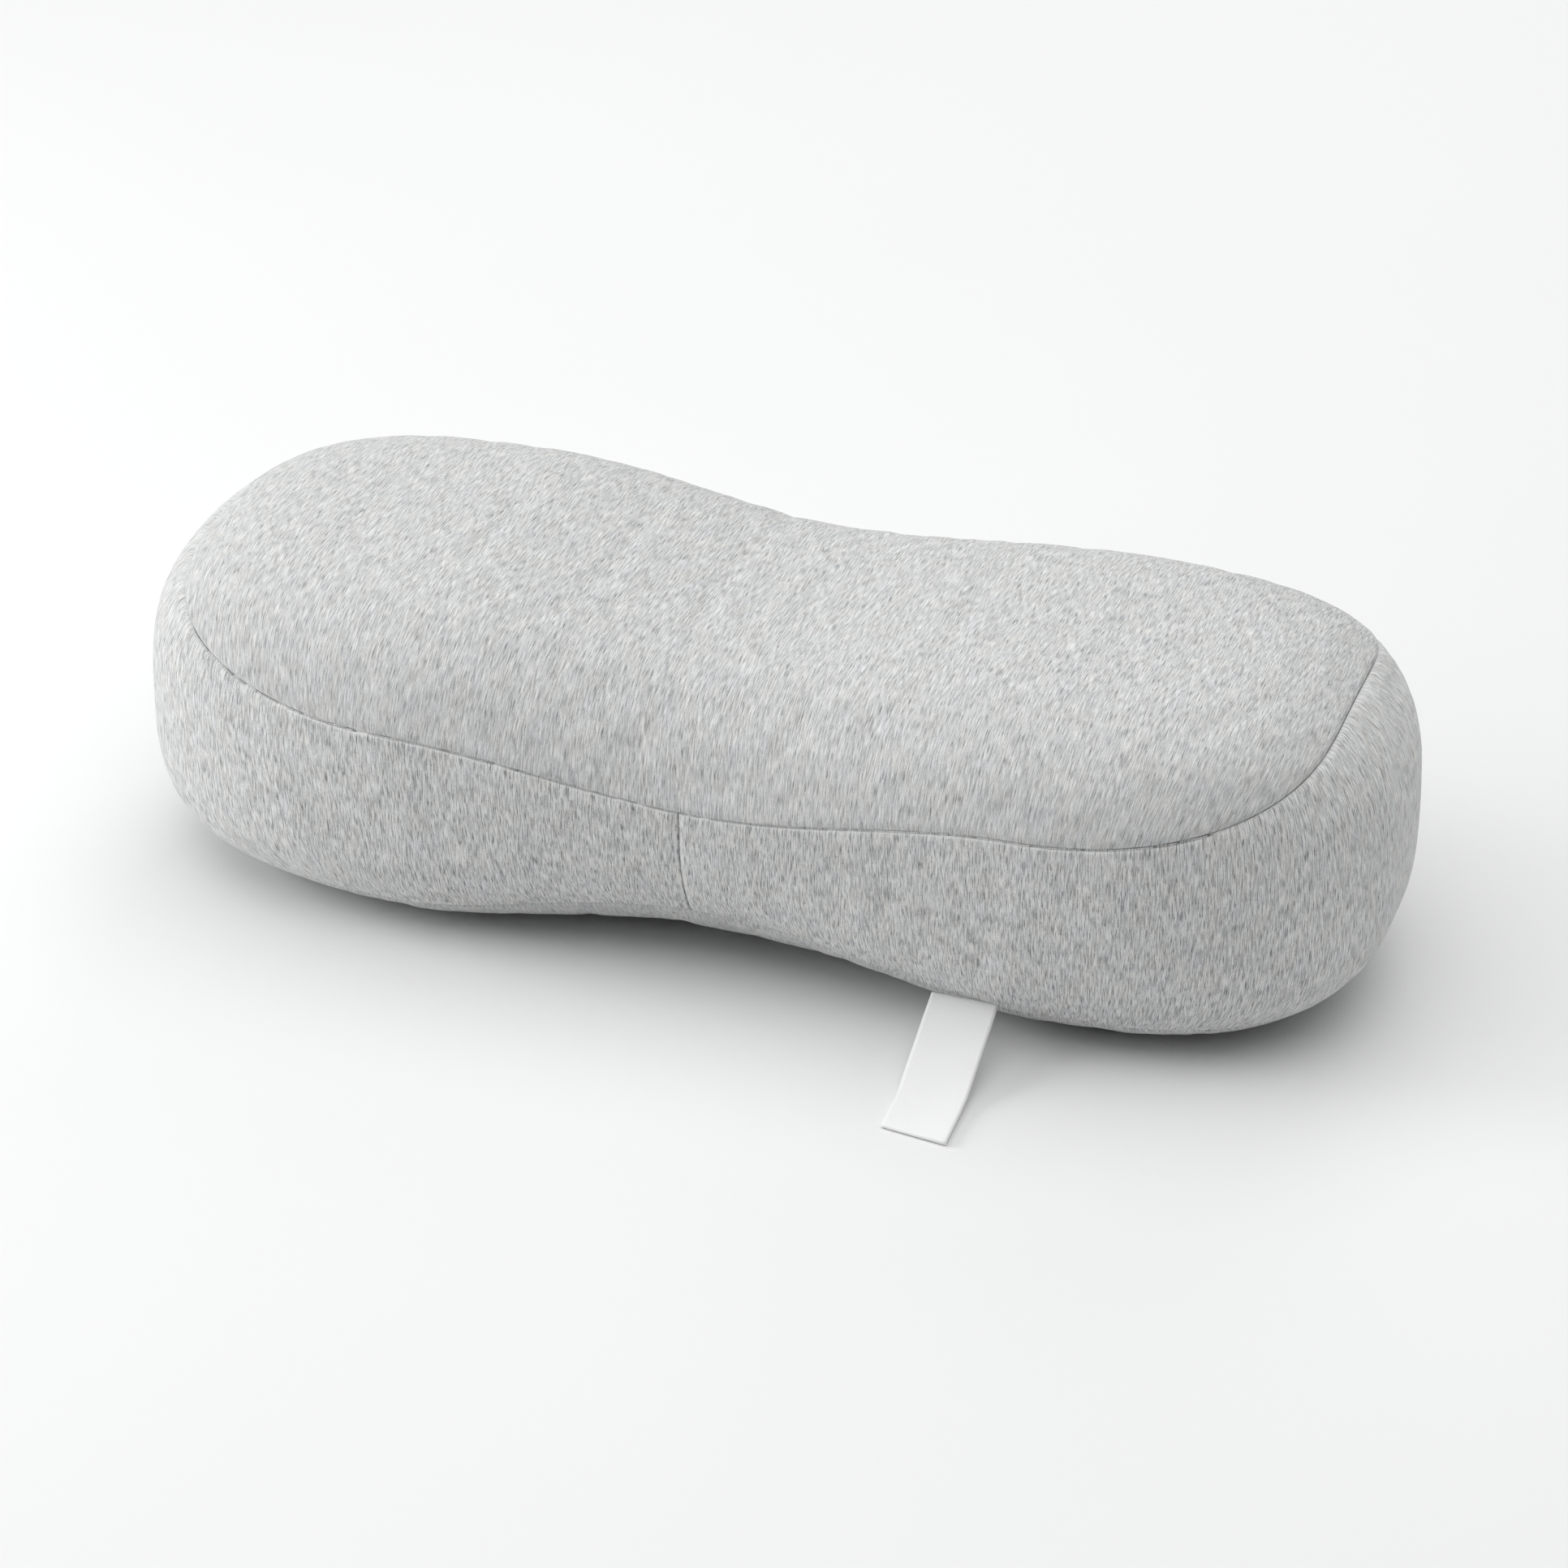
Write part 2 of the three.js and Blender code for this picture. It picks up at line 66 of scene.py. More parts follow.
MIDDLE_Y = (TOP_LOW[1] + TOP_HIGH[1]) / 2  # the pillow's own middle, behind the frame's origin
HALF_LENGTH = (RIGHT_HIGH[0] - LEFT_LOW[0]) / 2
HALF_WIDTH = (RIGHT_HIGH[1] - RIGHT_LOW[1]) / 2
HEIGHT = TOP_HIGH[2]
SIDE_SEAM_X = (LEFT_HIGH[0] + RIGHT_LOW[0]) / 2
ZIP_HEIGHT = TAPE_LOW[2] - 1.4
ZIP_END = TAPE_HIGH[0]
ZIP_OPENING = 5.0  # from the zip's middle to each edge of the cloth

# ---- The filled shape -----------------------------------------------------------------------
# The beads have settled a little unevenly, so the two lobes differ by a few millimetres.

LOBES = {
    -1: dict(centre=146.0, half=HALF_WIDTH + 3.5, top=HEIGHT + 1),
    1: dict(centre=152.0, half=HALF_WIDTH - 3.5, top=HEIGHT - 1),
}
WAIST_HALF = 107.0
WAIST_TOP = 155.0
BACK_WAIST_SHIFT = 8.0  # the back of the waist lies a little further towards +X than the front
SQUARENESS = 2.6
SINK = 1.5  # how far each lobe would reach below the floor, which presses it flat
WAIST_LIFT = 3.8  # the waist's underside above the floor
ARCH = 0.3  # the share of the way to a lobe over which that lift holds
PROFILE = {  # at a lobe and at the waist
    "widest": (67.0, 92.0),
    "crown_out": (4.9, 4.9),
    "crown_up": (3.5, 2.8),
    "belly_out": (4.3, 3.95),
    "belly_down": (2.45, 1.9),
}
SEAMS = {"top_seam": (118.0, 103.0, 152.0), "bottom_seam": (18.5, 37.0, 20.0)}  # and at an end
CREASE = (9.5, 14.5)  # how far the top seam stands out of the round section, at a lobe and a waist
CREASE_ABOVE, CREASE_BELOW = 44.0, 90.0  # how far along the cloth that reaches
CREASE_SHARPNESS = 1.3
CREASE_SLANT = 0.35  # how far the side seam leans to +X where it stands out, as a share
GROOVE_FLAT, GROOVE_EDGE = 0.1, 0.34


def smooth(share):
    s = np.clip(share, 0, 1)
    return s * s * (3 - 2 * s)


def mix(a, b, share):
    return a + (b - a) * share


def by_side(side, key):
    return np.where(side < 0, LOBES[-1][key], LOBES[1][key])


def plan(turn):
    """The plan's rim at each turn (0 at the +X end, a quarter at the back of the waist), and the
    foot on the spine that its section starts from."""
    angle = turn * 2 * math.pi
    side_x = np.where(np.cos(angle) < 0, -1, 1)
    side_y = np.where(np.sin(angle) < 0, -1, 1)
    share = np.arctan2(np.abs(np.sin(angle)), np.abs(np.cos(angle))) / (math.pi / 4)
    centre = by_side(side_x, "centre")
    half = by_side(side_x, "half")
    bend = np.clip(share, 0, 1) * math.pi / 2
    end_x = centre + (HALF_LENGTH - centre) * np.abs(np.cos(bend)) ** (2 / SQUARENESS)
    end_y = half * np.abs(np.sin(bend)) ** (2 / SQUARENESS)
    mid_x = centre * (2 - share)
    along = mid_x * side_x / centre
    along = along - np.where(side_y > 0, BACK_WAIST_SHIFT, 0) / centre * (1 - along**2)
    mid_y = mix(WAIST_HALF, half, (1 - np.cos(math.pi * along)) / 2)
    lobe = share <= 1
    foot = np.where(lobe, centre, mid_x) * side_x
    return foot, np.where(lobe, end_x, mid_x) * side_x, np.where(lobe, end_y, mid_y) * side_y


def levels(x):
    """What changes along the pillow, at each place x of the rim."""
    centre = by_side(x, "centre")
    lobe = smooth(np.abs(x) / centre)
    end = (np.maximum(np.abs(x) - centre, 0) / (HALF_LENGTH - centre)) ** 2
    at = {key: mix(waist, full, lobe) for key, (full, waist) in PROFILE.items()}
    stands = smooth((np.abs(x) / centre - ARCH) / (1 - ARCH))
    at["bottom"] = mix(WAIST_LIFT, -SINK, stands)
    at["top"] = mix(WAIST_TOP, by_side(x, "top"), lobe)
    for key, (full, waist, tip) in SEAMS.items():
        at[key] = mix(waist, full, lobe) + (tip - full) * end
    at["crease"] = mix(CREASE[1], CREASE[0], lobe) * (1 - np.sqrt(end))
    at["crease_slant"] = CREASE_SLANT * (1 - lobe)
    return at


SECTION_STEPS = 360
GROOVE_STEPS = 40  # the section's last steps, which cover the groove over the zip
BELLY_STEPS = 60  # and those before it that the underside's edge can lie in


def travel_along(points):
    """The distance along each section at each of its points."""
    step = np.linalg.norm(np.diff(points, axis=1), axis=2)
    return np.concatenate([np.zeros((len(points), 1)), np.cumsum(step, 1)], 1)


def sections(turn):
    """Each turn's section, from the top of the spine down the wall and under to the spine again:
    points, the distance along it, and the distances of the two seams."""
    foot, rim_x, rim_y = plan(turn)
    at = {key: values[:, None] for key, values in levels(rim_x).items()}
    angle = np.linspace(math.pi / 2, 0, SECTION_STEPS)[None]
    up_share = np.cos(angle) ** (2 / at["crown_out"])
    up = mix(at["widest"], at["top"], np.sin(angle) ** (2 / at["crown_up"]))
    fall = angle[:, ::-1][:, 1:]
    down_share = np.cos(fall) ** (2 / at["belly_out"])
    down = mix(at["widest"], at["bottom"], np.sin(fall) ** (2 / at["belly_down"]))
    groove = 1 - smooth((down_share - GROOVE_FLAT) / (GROOVE_EDGE - GROOVE_FLAT))
    down = mix(np.maximum(down, 0), ZIP_HEIGHT, groove)
    up_share[:, 0] = down_share[:, -1] = 0
    share = np.concatenate([up_share, down_share], 1)
    points = np.stack([
        mix(foot[:, None], rim_x[:, None], share),
        rim_y[:, None] * share,
        np.concatenate([up, down], 1),
    ], 2)
    travel = travel_along(points)
    before_groove = 2 * SECTION_STEPS - GROOVE_STEPS
    seams = [
        np.array([
            np.interp(-at[key][i, 0], -points[i, :before_groove, 2], travel[i, :before_groove])
            for i in range(len(turn))
        ])
        for key in ("top_seam", "bottom_seam")
    ]
    beyond = travel - seams[0][:, None]
    reach = np.where(beyond < 0, CREASE_ABOVE, CREASE_BELOW)
    stand = at["crease"] * np.clip(1 - np.abs(beyond) / reach, 0, 1) ** CREASE_SHARPNESS
    along = np.gradient(points, axis=1)
    outward = np.stack([rim_x - foot, rim_y], 1)
    outward /= np.linalg.norm(outward, axis=1)[:, None]
    run = (along[..., :2] * outward[:, None]).sum(2)
    length = np.maximum(np.hypot(run, along[..., 2]), 1e-9)
    points[..., :2] -= outward[:, None] * (stand * along[..., 2] / length)[..., None]
    points[..., 0] += stand * at["crease_slant"]
    points[..., 2] += stand * run / length
    creased = travel_along(points)
    seams = [
        np.array([np.interp(seam[i], travel[i], creased[i]) for i in range(len(turn))])
        for seam in seams
    ]
    return points, creased, seams


def resample(points, travel, wanted):
    """The points of each section at the wanted distances along it."""
    return np.stack([
        np.stack([np.interp(wanted[i], travel[i], points[i, :, k]) for k in range(3)], 1)
        for i in range(len(points))
    ])


# ---- The filling's push on the cover ------------------------------------------------------------


WAVE_COUNT = 14
WAVE_SPREAD = (0.7, 1.6)  # each wave's length, in pitches
WAVE_PEAK = 1.4  # what the sum comes to, for a wave count's root of 1


def waves(points, pitch, seed):
    """Smooth seeded noise about pitch across, from about -1 to 1, at each point."""
    rng = np.random.default_rng(seed)
    total = np.zeros(points.shape[:-1])
    for _ in range(WAVE_COUNT):
        direction = rng.normal(size=3)
        direction /= np.linalg.norm(direction)
        size = pitch * rng.uniform(*WAVE_SPREAD)
        total += np.sin(points @ direction * 2 * math.pi / size + rng.uniform(0, 2 * math.pi))
    return total / math.sqrt(WAVE_COUNT) / WAVE_PEAK


SWELL_START = 0.8  # how far inside its final surface the cloth starts before it is filled
SWELL_CAP = 3.0
COARSE = 6.0
PIN_WIDTH = 5.0
BEAD_SUPPORT = 0.15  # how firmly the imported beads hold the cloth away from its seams
VOXEL = 5
SEAM_HOLD = 3  # how far from a seam line the cloth is held fully
STANDS_BELOW = 4  # the cloth under this height rests on the floor and is held
FILL_FRAMES = 20
FILL_PRESSURE = 4
FILL_STIFFNESS = 12
FILL_SLACK = -0.006  # the cloth may grow by this share
SIDE_SEAM_POINTS = 30
NEIGHBOURS = 6  # how many of the coarse copy's points move each point of the cover
SOFTENING = 4  # keeps the nearest of them from taking over


def rim_travel(turns):
    """The distance along the plan's rim at each of the turns, from the first one."""
    _, rim_x, rim_y = plan(turns)
    return np.concatenate([[0], np.cumsum(np.hypot(np.diff(rim_x), np.diff(rim_y)))])


def whole_turns(spacing):
    """Turns round the whole plan, about the spacing apart along its rim, and their distances.
    The back's turns mirror the front's, so that both meet along the spine."""
    fine = np.linspace(0.5, 1, 2001)
    travel = rim_travel(fine)
    count = int(round(travel[-1] / spacing))
    front = np.interp(np.linspace(0, travel[-1], count + 1), travel, fine)
    turns = np.concatenate([1 - front[:0:-1], front[:-1]])
    return turns, rim_travel(turns)


def seam_turn(side_y):
    """The turn of the waist seam at the front (-1) or the back (1)."""
    middle = 0.25 if side_y > 0 else 0.75
    centre = LOBES[-1 if SIDE_SEAM_X < 0 else 1]["centre"]
    return middle - side_y * SIDE_SEAM_X / centre / 8


def filled_push():
    """Fills the sewn cover: a coarse copy of it, held at its seams and where it stands, is blown
    out by Blender's cloth. Returns where the copy's points were and how far each one rose."""
    turns, _ = whole_turns(COARSE)
    points, travel, (top, bottom) = sections(turns)
    rows = int(round(travel[:, -1].mean() / COARSE))
    surface = resample(points, travel, travel[:, -1:] * np.linspace(0, 1, rows)[None])
    normals = grid_normals(surface, True)
    normals[:, 0], normals[:, -1] = [0, 0, 1], [0, 0, -1]
    shape = surface - normals * SWELL_START
    made = mesh_object("filling_push", shape, grid_faces(len(turns), rows, True))
    weld(made)
    remesh = made.modifiers.new("remesh", "REMESH")
    remesh.mode = "VOXEL"
    remesh.voxel_size = VOXEL * MM
    apply_modifiers(made)

    seam_lines = [
        np.array([
            resample(points[i:i + 1], travel[i:i + 1], at[i:i + 1, None])[0, 0]
            for i in range(len(turns))
        ])
        for at in (top, bottom)
    ]
    for side in (-1, 1):
        one = np.array([seam_turn(side) % 1])
        p, t, (high, low) = sections(one)
        seam_lines.append(resample(p, t, np.linspace(high, low, SIDE_SEAM_POINTS).T)[0])
    held = KDTree(sum(len(line) for line in seam_lines))
    for k, place in enumerate(np.concatenate(seam_lines)):
        held.insert(place, k)
    held.balance()

    group = made.vertex_groups.new(name="held")
    before = read_points(made)
    for k, place in enumerate(before):
        beside = max(held.find(place)[2] - SEAM_HOLD, 0) / PIN_WIDTH
        pin = 1 if place[2] < STANDS_BELOW else mix(BEAD_SUPPORT, 1, math.exp(-(beside ** 2)))
        group.add([k], pin, "REPLACE")
    cloth = made.modifiers.new("cloth", "CLOTH")
    cloth.settings.quality = 6
    cloth.settings.mass = 0.3
    cloth.settings.tension_stiffness = FILL_STIFFNESS
    cloth.settings.compression_stiffness = FILL_STIFFNESS
    cloth.settings.bending_stiffness = 0.4
    cloth.settings.shrink_min = FILL_SLACK
    cloth.settings.use_pressure = True
    cloth.settings.uniform_pressure_force = FILL_PRESSURE
    cloth.settings.vertex_group_mass = "held"
    cloth.settings.effector_weights.gravity = 0
    cloth.point_cache.frame_start = 1
    cloth.point_cache.frame_end = FILL_FRAMES
    for step in range(1, FILL_FRAMES + 1):
        bpy.context.scene.frame_set(step)
    apply_modifiers(made)
    bpy.context.scene.frame_set(1)
    after = read_points(made)
    bpy.data.objects.remove(made)

    moved = after - before
    far = np.linalg.norm(moved, axis=1, keepdims=True)
    moved *= np.minimum(1, SWELL_CAP / np.maximum(far, 1e-9))
    tree = KDTree(len(before))
    for k, place in enumerate(before):
        tree.insert(place, k)
    tree.balance()
    return tree, moved


def read_points(made):
    values = np.empty(len(made.data.vertices) * 3)
    made.data.vertices.foreach_get("co", values)
    return values.reshape(-1, 3) / MM - [0, MIDDLE_Y, 0]


def apply_modifiers(made):
    evaluated = made.evaluated_get(bpy.context.evaluated_depsgraph_get())
    mesh = bpy.data.meshes.new_from_object(evaluated)
    made.modifiers.clear()
    made.data = mesh


def weld(made):
    work = bmesh.new()
    work.from_mesh(made.data)
    bmesh.ops.remove_doubles(work, verts=work.verts, dist=1e-6)
    bmesh.ops.dissolve_degenerate(work, edges=work.edges, dist=1e-7)
    work.to_mesh(made.data)
    work.free()


SWELLS = dict(height=0.5, pitch=95, seed=3)  # broad, from the beads
DIMPLES = dict(height=0.12, pitch=38, seed=5)
FOLDS = dict(height=0.7, pitch=44, seed=9)  # beside the floor, drawn out upwards
FOLD_STRETCH = 0.35
FOLD_TOP, FOLD_RANGE = 45, 40  # up to where the folds reach, and over what height they fade
FLOOR_FADE = 12  # over this height the swelling fades out towards the floor


def settled(surface, normals):
    """The filled cover's surface: pushed out by its filling, with broad swells from the beads and
    small folds where it meets the floor."""
    height = surface[..., 2]
    low = smooth((FOLD_TOP - height) / FOLD_RANGE) * smooth((height + 1) / 4)
    clear = smooth((height + 2) / FLOOR_FADE)
    lift = sum(
        wave["height"] * waves(surface, wave["pitch"], wave["seed"]) for wave in (SWELLS, DIMPLES)
    )
    lift = lift * clear
    drawn = surface * [1, 1, FOLD_STRETCH]
    lift = lift + low * FOLDS["height"] * waves(drawn, FOLDS["pitch"], FOLDS["seed"])
    if PUSH:
        tree, moved = PUSH
        flat = (surface - normals * SWELL_START).reshape(-1, 3)
        rise = np.zeros(len(flat))
        outward = normals.reshape(-1, 3)
        for k, place in enumerate(flat):
            near = tree.find_n(place, NEIGHBOURS)
            weights = np.array([1 / (hit[2] ** 2 + SOFTENING) for hit in near])
            push = weights @ moved[[hit[1] for hit in near]] / weights.sum()
            rise[k] = push @ outward[k]
        lift = lift + rise.reshape(lift.shape) - SWELL_START * clear
    return surface + normals * lift[..., None]


# ---- Panels -----------------------------------------------------------------------------------

BESIDE_SEAM = np.array([0.0, 0.3, 0.6, 0.95, 1.4, 2.0, 2.9, 4.3, 6.4])  # rows beside a seam
ROW = 3.6  # row spacing elsewhere
STATION = 2.2  # station spacing round the plan
VALLEY_DEPTH = 2.3
VALLEY_WIDTH = 1.45
SIDE_VALLEY_DEPTH = 2.6
SHOULDER_WIDTH = 2.2  # a band's edge rounds off over more cloth, so that it catches the light
RIDGE = 0.8  # how far the seam allowances behind it push the cloth out beside a seam
RIDGE_WIDTH = 8.0
SEAM_GAP = 0.3  # half the slot between two panels' edges
ALLOWANCE = 4.0  # the seam allowance that turns in
CLOTH = 0.9


def spaced(start, end, seam_start, seam_end, pitch):
    """Distances from start to end for each station, crowded beside an end that is a seam."""
    head = BESIDE_SEAM if seam_start else BESIDE_SEAM[:1]
    tail = BESIDE_SEAM if seam_end else BESIDE_SEAM[:1]
    length = (end - start)[:, None]
    room = length - head[-1] - tail[-1]
    count = max(int(round(room.mean() / pitch)), 2)
    inner = head[-1] + room * np.linspace(0, 1, count + 1)[None, 1:-1]
    head = np.broadcast_to(head, (len(start), len(head)))
    tail = np.broadcast_to(tail[::-1], (len(start), len(tail)))
    return start[:, None] + np.concatenate([head, inner, length - tail], 1)


def grid_normals(points, closed):
    """Outward normals of a grid of points (stations, rows, 3)."""
    if closed:
        around = np.roll(points, -1, 0) - np.roll(points, 1, 0)
    else:
        around = np.gradient(points, axis=0)
    down = np.gradient(points, axis=1)
    normal = np.cross(down, around)
    length = np.linalg.norm(normal, axis=2, keepdims=True)
    return normal / np.maximum(length, 1e-9)


def grid_faces(stations, rows, closed):
    faces = []
    for i in range(stations if closed else stations - 1):
        j = (i + 1) % stations
        for k in range(rows - 1):
            faces.append((i * rows + k, i * rows + k + 1, j * rows + k + 1, j * rows + k))
    return faces


def mesh_object(name, points, faces, attributes=None):
    """A smooth mesh object in the frame, from points in the pillow's own millimetres."""
    mesh = bpy.data.meshes.new(name)
    placed = (points.reshape(-1, 3) + [0, MIDDLE_Y, 0]) * MM
    mesh.from_pydata(placed.tolist(), [], faces)
    for key, values in (attributes or {}).items():
        layer = mesh.attributes.new(key, "FLOAT_VECTOR", "POINT")
        layer.data.foreach_set("vector", np.asarray(values, np.float32).ravel())
    mesh.shade_smooth()
    made = bpy.data.objects.new(name, mesh)
    bpy.context.scene.collection.objects.link(made)
    return made


def station_turns(first, last, crowded):
    """Turns from first to last, about a STATION apart, crowded beside both ends if they are
    seams."""
    fine = np.linspace(first, last, 4001)
    travel = rim_travel(fine)
    whole = np.array([travel[-1]])
    wanted = spaced(np.zeros(1), whole, crowded, crowded, STATION)[0]
    return np.interp(wanted, travel, fine), wanted


VALLEY_SHARPNESS = 1.3


def valley(distance, depth=VALLEY_DEPTH, width=VALLEY_WIDTH):
    fold = depth * np.exp(-((distance / width) ** VALLEY_SHARPNESS))
    return fold - RIDGE * np.exp(-distance / RIDGE_WIDTH)


PUSH = filled_push()
GRAIN_STEP = 1000.0  # keeps the panels' heather apart
GATHER_FROM, GATHER_FULL = 185.0, 235.0  # along the pillow: where the top seam gathers the bands


def panel(name, part, turns, along, number, closed=False):
    """One panel of the cover: a grid of stations along the turns and rows down the section.
    Returns the piece, its outer surface and that surface's normals."""
    points, travel, (top, bottom) = sections(turns)
    start, stop = {
        "crown": (np.zeros(len(turns)), top),
        "band": (top, bottom),
        "belly": (bottom, belly_end(turns, points, travel)),
    }[part]
    wanted = spaced(start, stop, part != "crown", part != "belly", ROW)
    surface = resample(points, travel, wanted)
    normals = grid_normals(surface, closed)
    if part == "crown":
        normals[:, 0] = [0, 0, 1]
    if part == "belly":
        normals[:, -1] = [0, 0, -1]
    surface = settled(surface, normals)

    to_seam = np.full(wanted.shape, 1e3)
    drop = np.full(wanted.shape, -1e3)
    if part != "crown":
        to_seam = np.minimum(to_seam, wanted - start[:, None])
        width = SHOULDER_WIDTH if part == "band" else VALLEY_WIDTH
        drop = np.maximum(drop, valley(wanted - start[:, None], VALLEY_DEPTH, width))
    if part != "belly":
        to_seam = np.minimum(to_seam, stop[:, None] - wanted)
        drop = np.maximum(drop, valley(stop[:, None] - wanted))
    if not closed:
        beside = np.minimum(along - along[0], along[-1] - along)[:, None]
        beside = np.broadcast_to(beside, wanted.shape)
        if part == "belly":
            beside = beside * (stop[:, None] - wanted) / (stop - start)[:, None]
        to_seam = np.minimum(to_seam, beside)
        drop = np.maximum(drop, valley(beside, SIDE_VALLEY_DEPTH, SHOULDER_WIDTH))
    surface = surface - normals * drop[..., None]
    surface[..., 2] = np.maximum(surface[..., 2], 0)
    outer = surface.copy()

    grain = grain_of(part, turns, along, wanted, start, stop)
    grain[..., 2] = number * GRAIN_STEP
    gather = np.zeros(wanted.shape)
    if part == "band":
        gather += smooth((np.abs(surface[..., 0]) - GATHER_FROM) / (GATHER_FULL - GATHER_FROM))
    seam = np.stack([to_seam, np.broadcast_to(along[:, None], wanted.shape), gather], 2)

    # The edges stand a little apart and turn in as seam allowances.
    down = unit(np.gradient(surface, axis=1))
    columns = [surface]
    if part != "crown":
        surface[:, 0] += down[:, 0] * SEAM_GAP
        columns.insert(0, (surface[:, 0] - normals[:, 0] * ALLOWANCE)[:, None])
    if part != "belly":
        surface[:, -1] -= down[:, -1] * SEAM_GAP
        columns.append((surface[:, -1] - normals[:, -1] * ALLOWANCE)[:, None])
    pad = [(0, 0), (int(part != "crown"), int(part != "belly")), (0, 0)]
    grain, seam, inward = (np.pad(values, pad, "edge") for values in (grain, seam, normals))
    shape = np.concatenate(columns, 1)
    if not closed:
        sideways = unit(np.gradient(shape, axis=0))
        shape[0] += sideways[0] * SEAM_GAP
        shape[-1] -= sideways[-1] * SEAM_GAP
        shape = np.concatenate([
            (shape[0] - inward[0] * ALLOWANCE)[None],
            shape,
            (shape[-1] - inward[-1] * ALLOWANCE)[None],
        ])
        ends = [(1, 1), (0, 0), (0, 0)]
        grain, seam = np.pad(grain, ends, "edge"), np.pad(seam, ends, "edge")
    faces = grid_faces(len(shape), shape.shape[1], closed)
    made = mesh_object(name, shape, faces, {"grain": grain * MM, "seam": seam * MM})
    weld(made)
    return made, outer, normals


def unit(vectors):
    return vectors / np.maximum(np.linalg.norm(vectors, axis=-1, keepdims=True), 1e-9)


def belly_end(turns, points, travel):
    """Where each of the underside's rows stops: at the zip's opening, or at the middle seam."""
    end = travel[:, -1].copy()
    foot, rim_x, _ = plan(turns)
    for i in range(len(turns)):
        if abs(foot[i] - rim_x[i]) > 1e-6:
            continue
        room = ZIP_OPENING if abs(foot[i]) < ZIP_END else SEAM_GAP
        late = slice(2 * SECTION_STEPS - GROOVE_STEPS - BELLY_STEPS, None)
        end[i] = np.interp(-room, -np.abs(points[i, late, 1]), travel[i, late])
    return end


def grain_of(part, turns, along, wanted, start, stop):
    """Where each point lies on the flat cloth: x across the heather's streaks, y along them."""
    grain = np.zeros(wanted.shape + (3,))
    if part == "band":
        grain[..., 0] = along[:, None]
        grain[..., 1] = wanted - start[:, None]
        return grain
    foot, rim_x, rim_y = plan(turns)
    out = np.hypot(rim_x - foot, rim_y)
    reach = wanted if part == "crown" else stop[:, None] - wanted
    grain[..., 0] = foot[:, None] + ((rim_x - foot) / out)[:, None] * reach
    grain[..., 1] = (rim_y / out)[:, None] * reach
    return grain


# ---- Threads, zip and label --------------------------------------------------------------------


STITCH_DEPTH = 0.9  # under the cloth's surface
STITCH_SHARES = np.array([-0.5, -0.42, -0.25, 0, 0.25, 0.42, 0.5])  # along one stitch
STITCH_WIDTHS = np.array([0.25, 0.8, 1.0, 1.05, 1.0, 0.8, 0.25])  # in thread radii
STITCH_DIPS = np.array([0.75, 0.3, 0.06, 0, 0.06, 0.3, 0.75])
STITCH_COVER = 0.82  # the share of the pitch that the thread shows over
SIDES = 6  # of a thread or a wire


def stitches(name, line, normals, depth, pitch=3.0, radius=0.27, closed=False):
    """A row of lockstitches along a seam line: short lengths of thread that dip in at both ends."""
    if closed:
        line, normals = np.concatenate([line, line[:1]]), np.concatenate([normals, normals[:1]])
    travel = np.concatenate([[0], np.cumsum(np.linalg.norm(np.diff(line, axis=0), axis=1))])
    count = int(travel[-1] / pitch)
    pitch = travel[-1] / count

    def at(values, where):
        return np.stack([np.interp(where, travel, values[:, k]) for k in range(3)], -1)

    last = (len(STITCH_SHARES) - 1) * SIDES
    points, faces = [], []
    for k in range(count):
        where = (k + 0.5 + STITCH_SHARES * STITCH_COVER) * pitch
        up = unit(at(normals, where))
        middle = at(line, where) - up * (depth + STITCH_DIPS[:, None])
        ahead = unit(np.gradient(middle, axis=0))
        aside = unit(np.cross(ahead, up))
        over = np.cross(aside, ahead)
        first = len(points) * SIDES
        angle = np.arange(SIDES) * 2 * math.pi / SIDES
        for j, width in enumerate(STITCH_WIDTHS):
            ring = np.cos(angle)[:, None] * aside[j] + np.sin(angle)[:, None] * over[j]
            points.append(middle[j] + ring * radius * width)
        for j in range(len(STITCH_SHARES) - 1):
            for i in range(SIDES):
                a, b = first + j * SIDES + i, first + j * SIDES + (i + 1) % SIDES
                faces.append((a, a + SIDES, b + SIDES, b))
        faces.append(tuple(first + i for i in range(SIDES)))
        faces.append(tuple(first + last + i for i in reversed(range(SIDES))))
    return mesh_object(name, np.concatenate(points), faces)


def tube(name, path, radius):
    """A closed tube along a path of points."""
    ahead = unit(np.gradient(path, axis=0))
    aside = unit(np.cross(ahead, [1.0, 0, 0.01]))
    over = np.cross(ahead, aside)
    angle = (np.arange(SIDES) * 2 * math.pi / SIDES)[None, :, None]
    ring = np.cos(angle) * aside[:, None] + np.sin(angle) * over[:, None]
    faces = []
    for j in range(len(path) - 1):
        for i in range(SIDES):
            a, b = j * SIDES + i, j * SIDES + (i + 1) % SIDES
            faces.append((a, b, b + SIDES, a + SIDES))
    faces.append(tuple(reversed(range(SIDES))))
    faces.append(tuple((len(path) - 1) * SIDES + i for i in range(SIDES)))
    return mesh_object(name, path[:, None] + ring * radius, faces)


def thicken(piece, thickness, offset=-1):
    thick = piece.modifiers.new("cloth", "SOLIDIFY")
    thick.thickness = thickness * MM
    thick.offset = offset


def in_pillow(point):
    return point - np.array([0, MIDDLE_Y, 0])


COIL_WIRE, COIL_PITCH, COIL_STEPS = 0.27, 1.25, 10


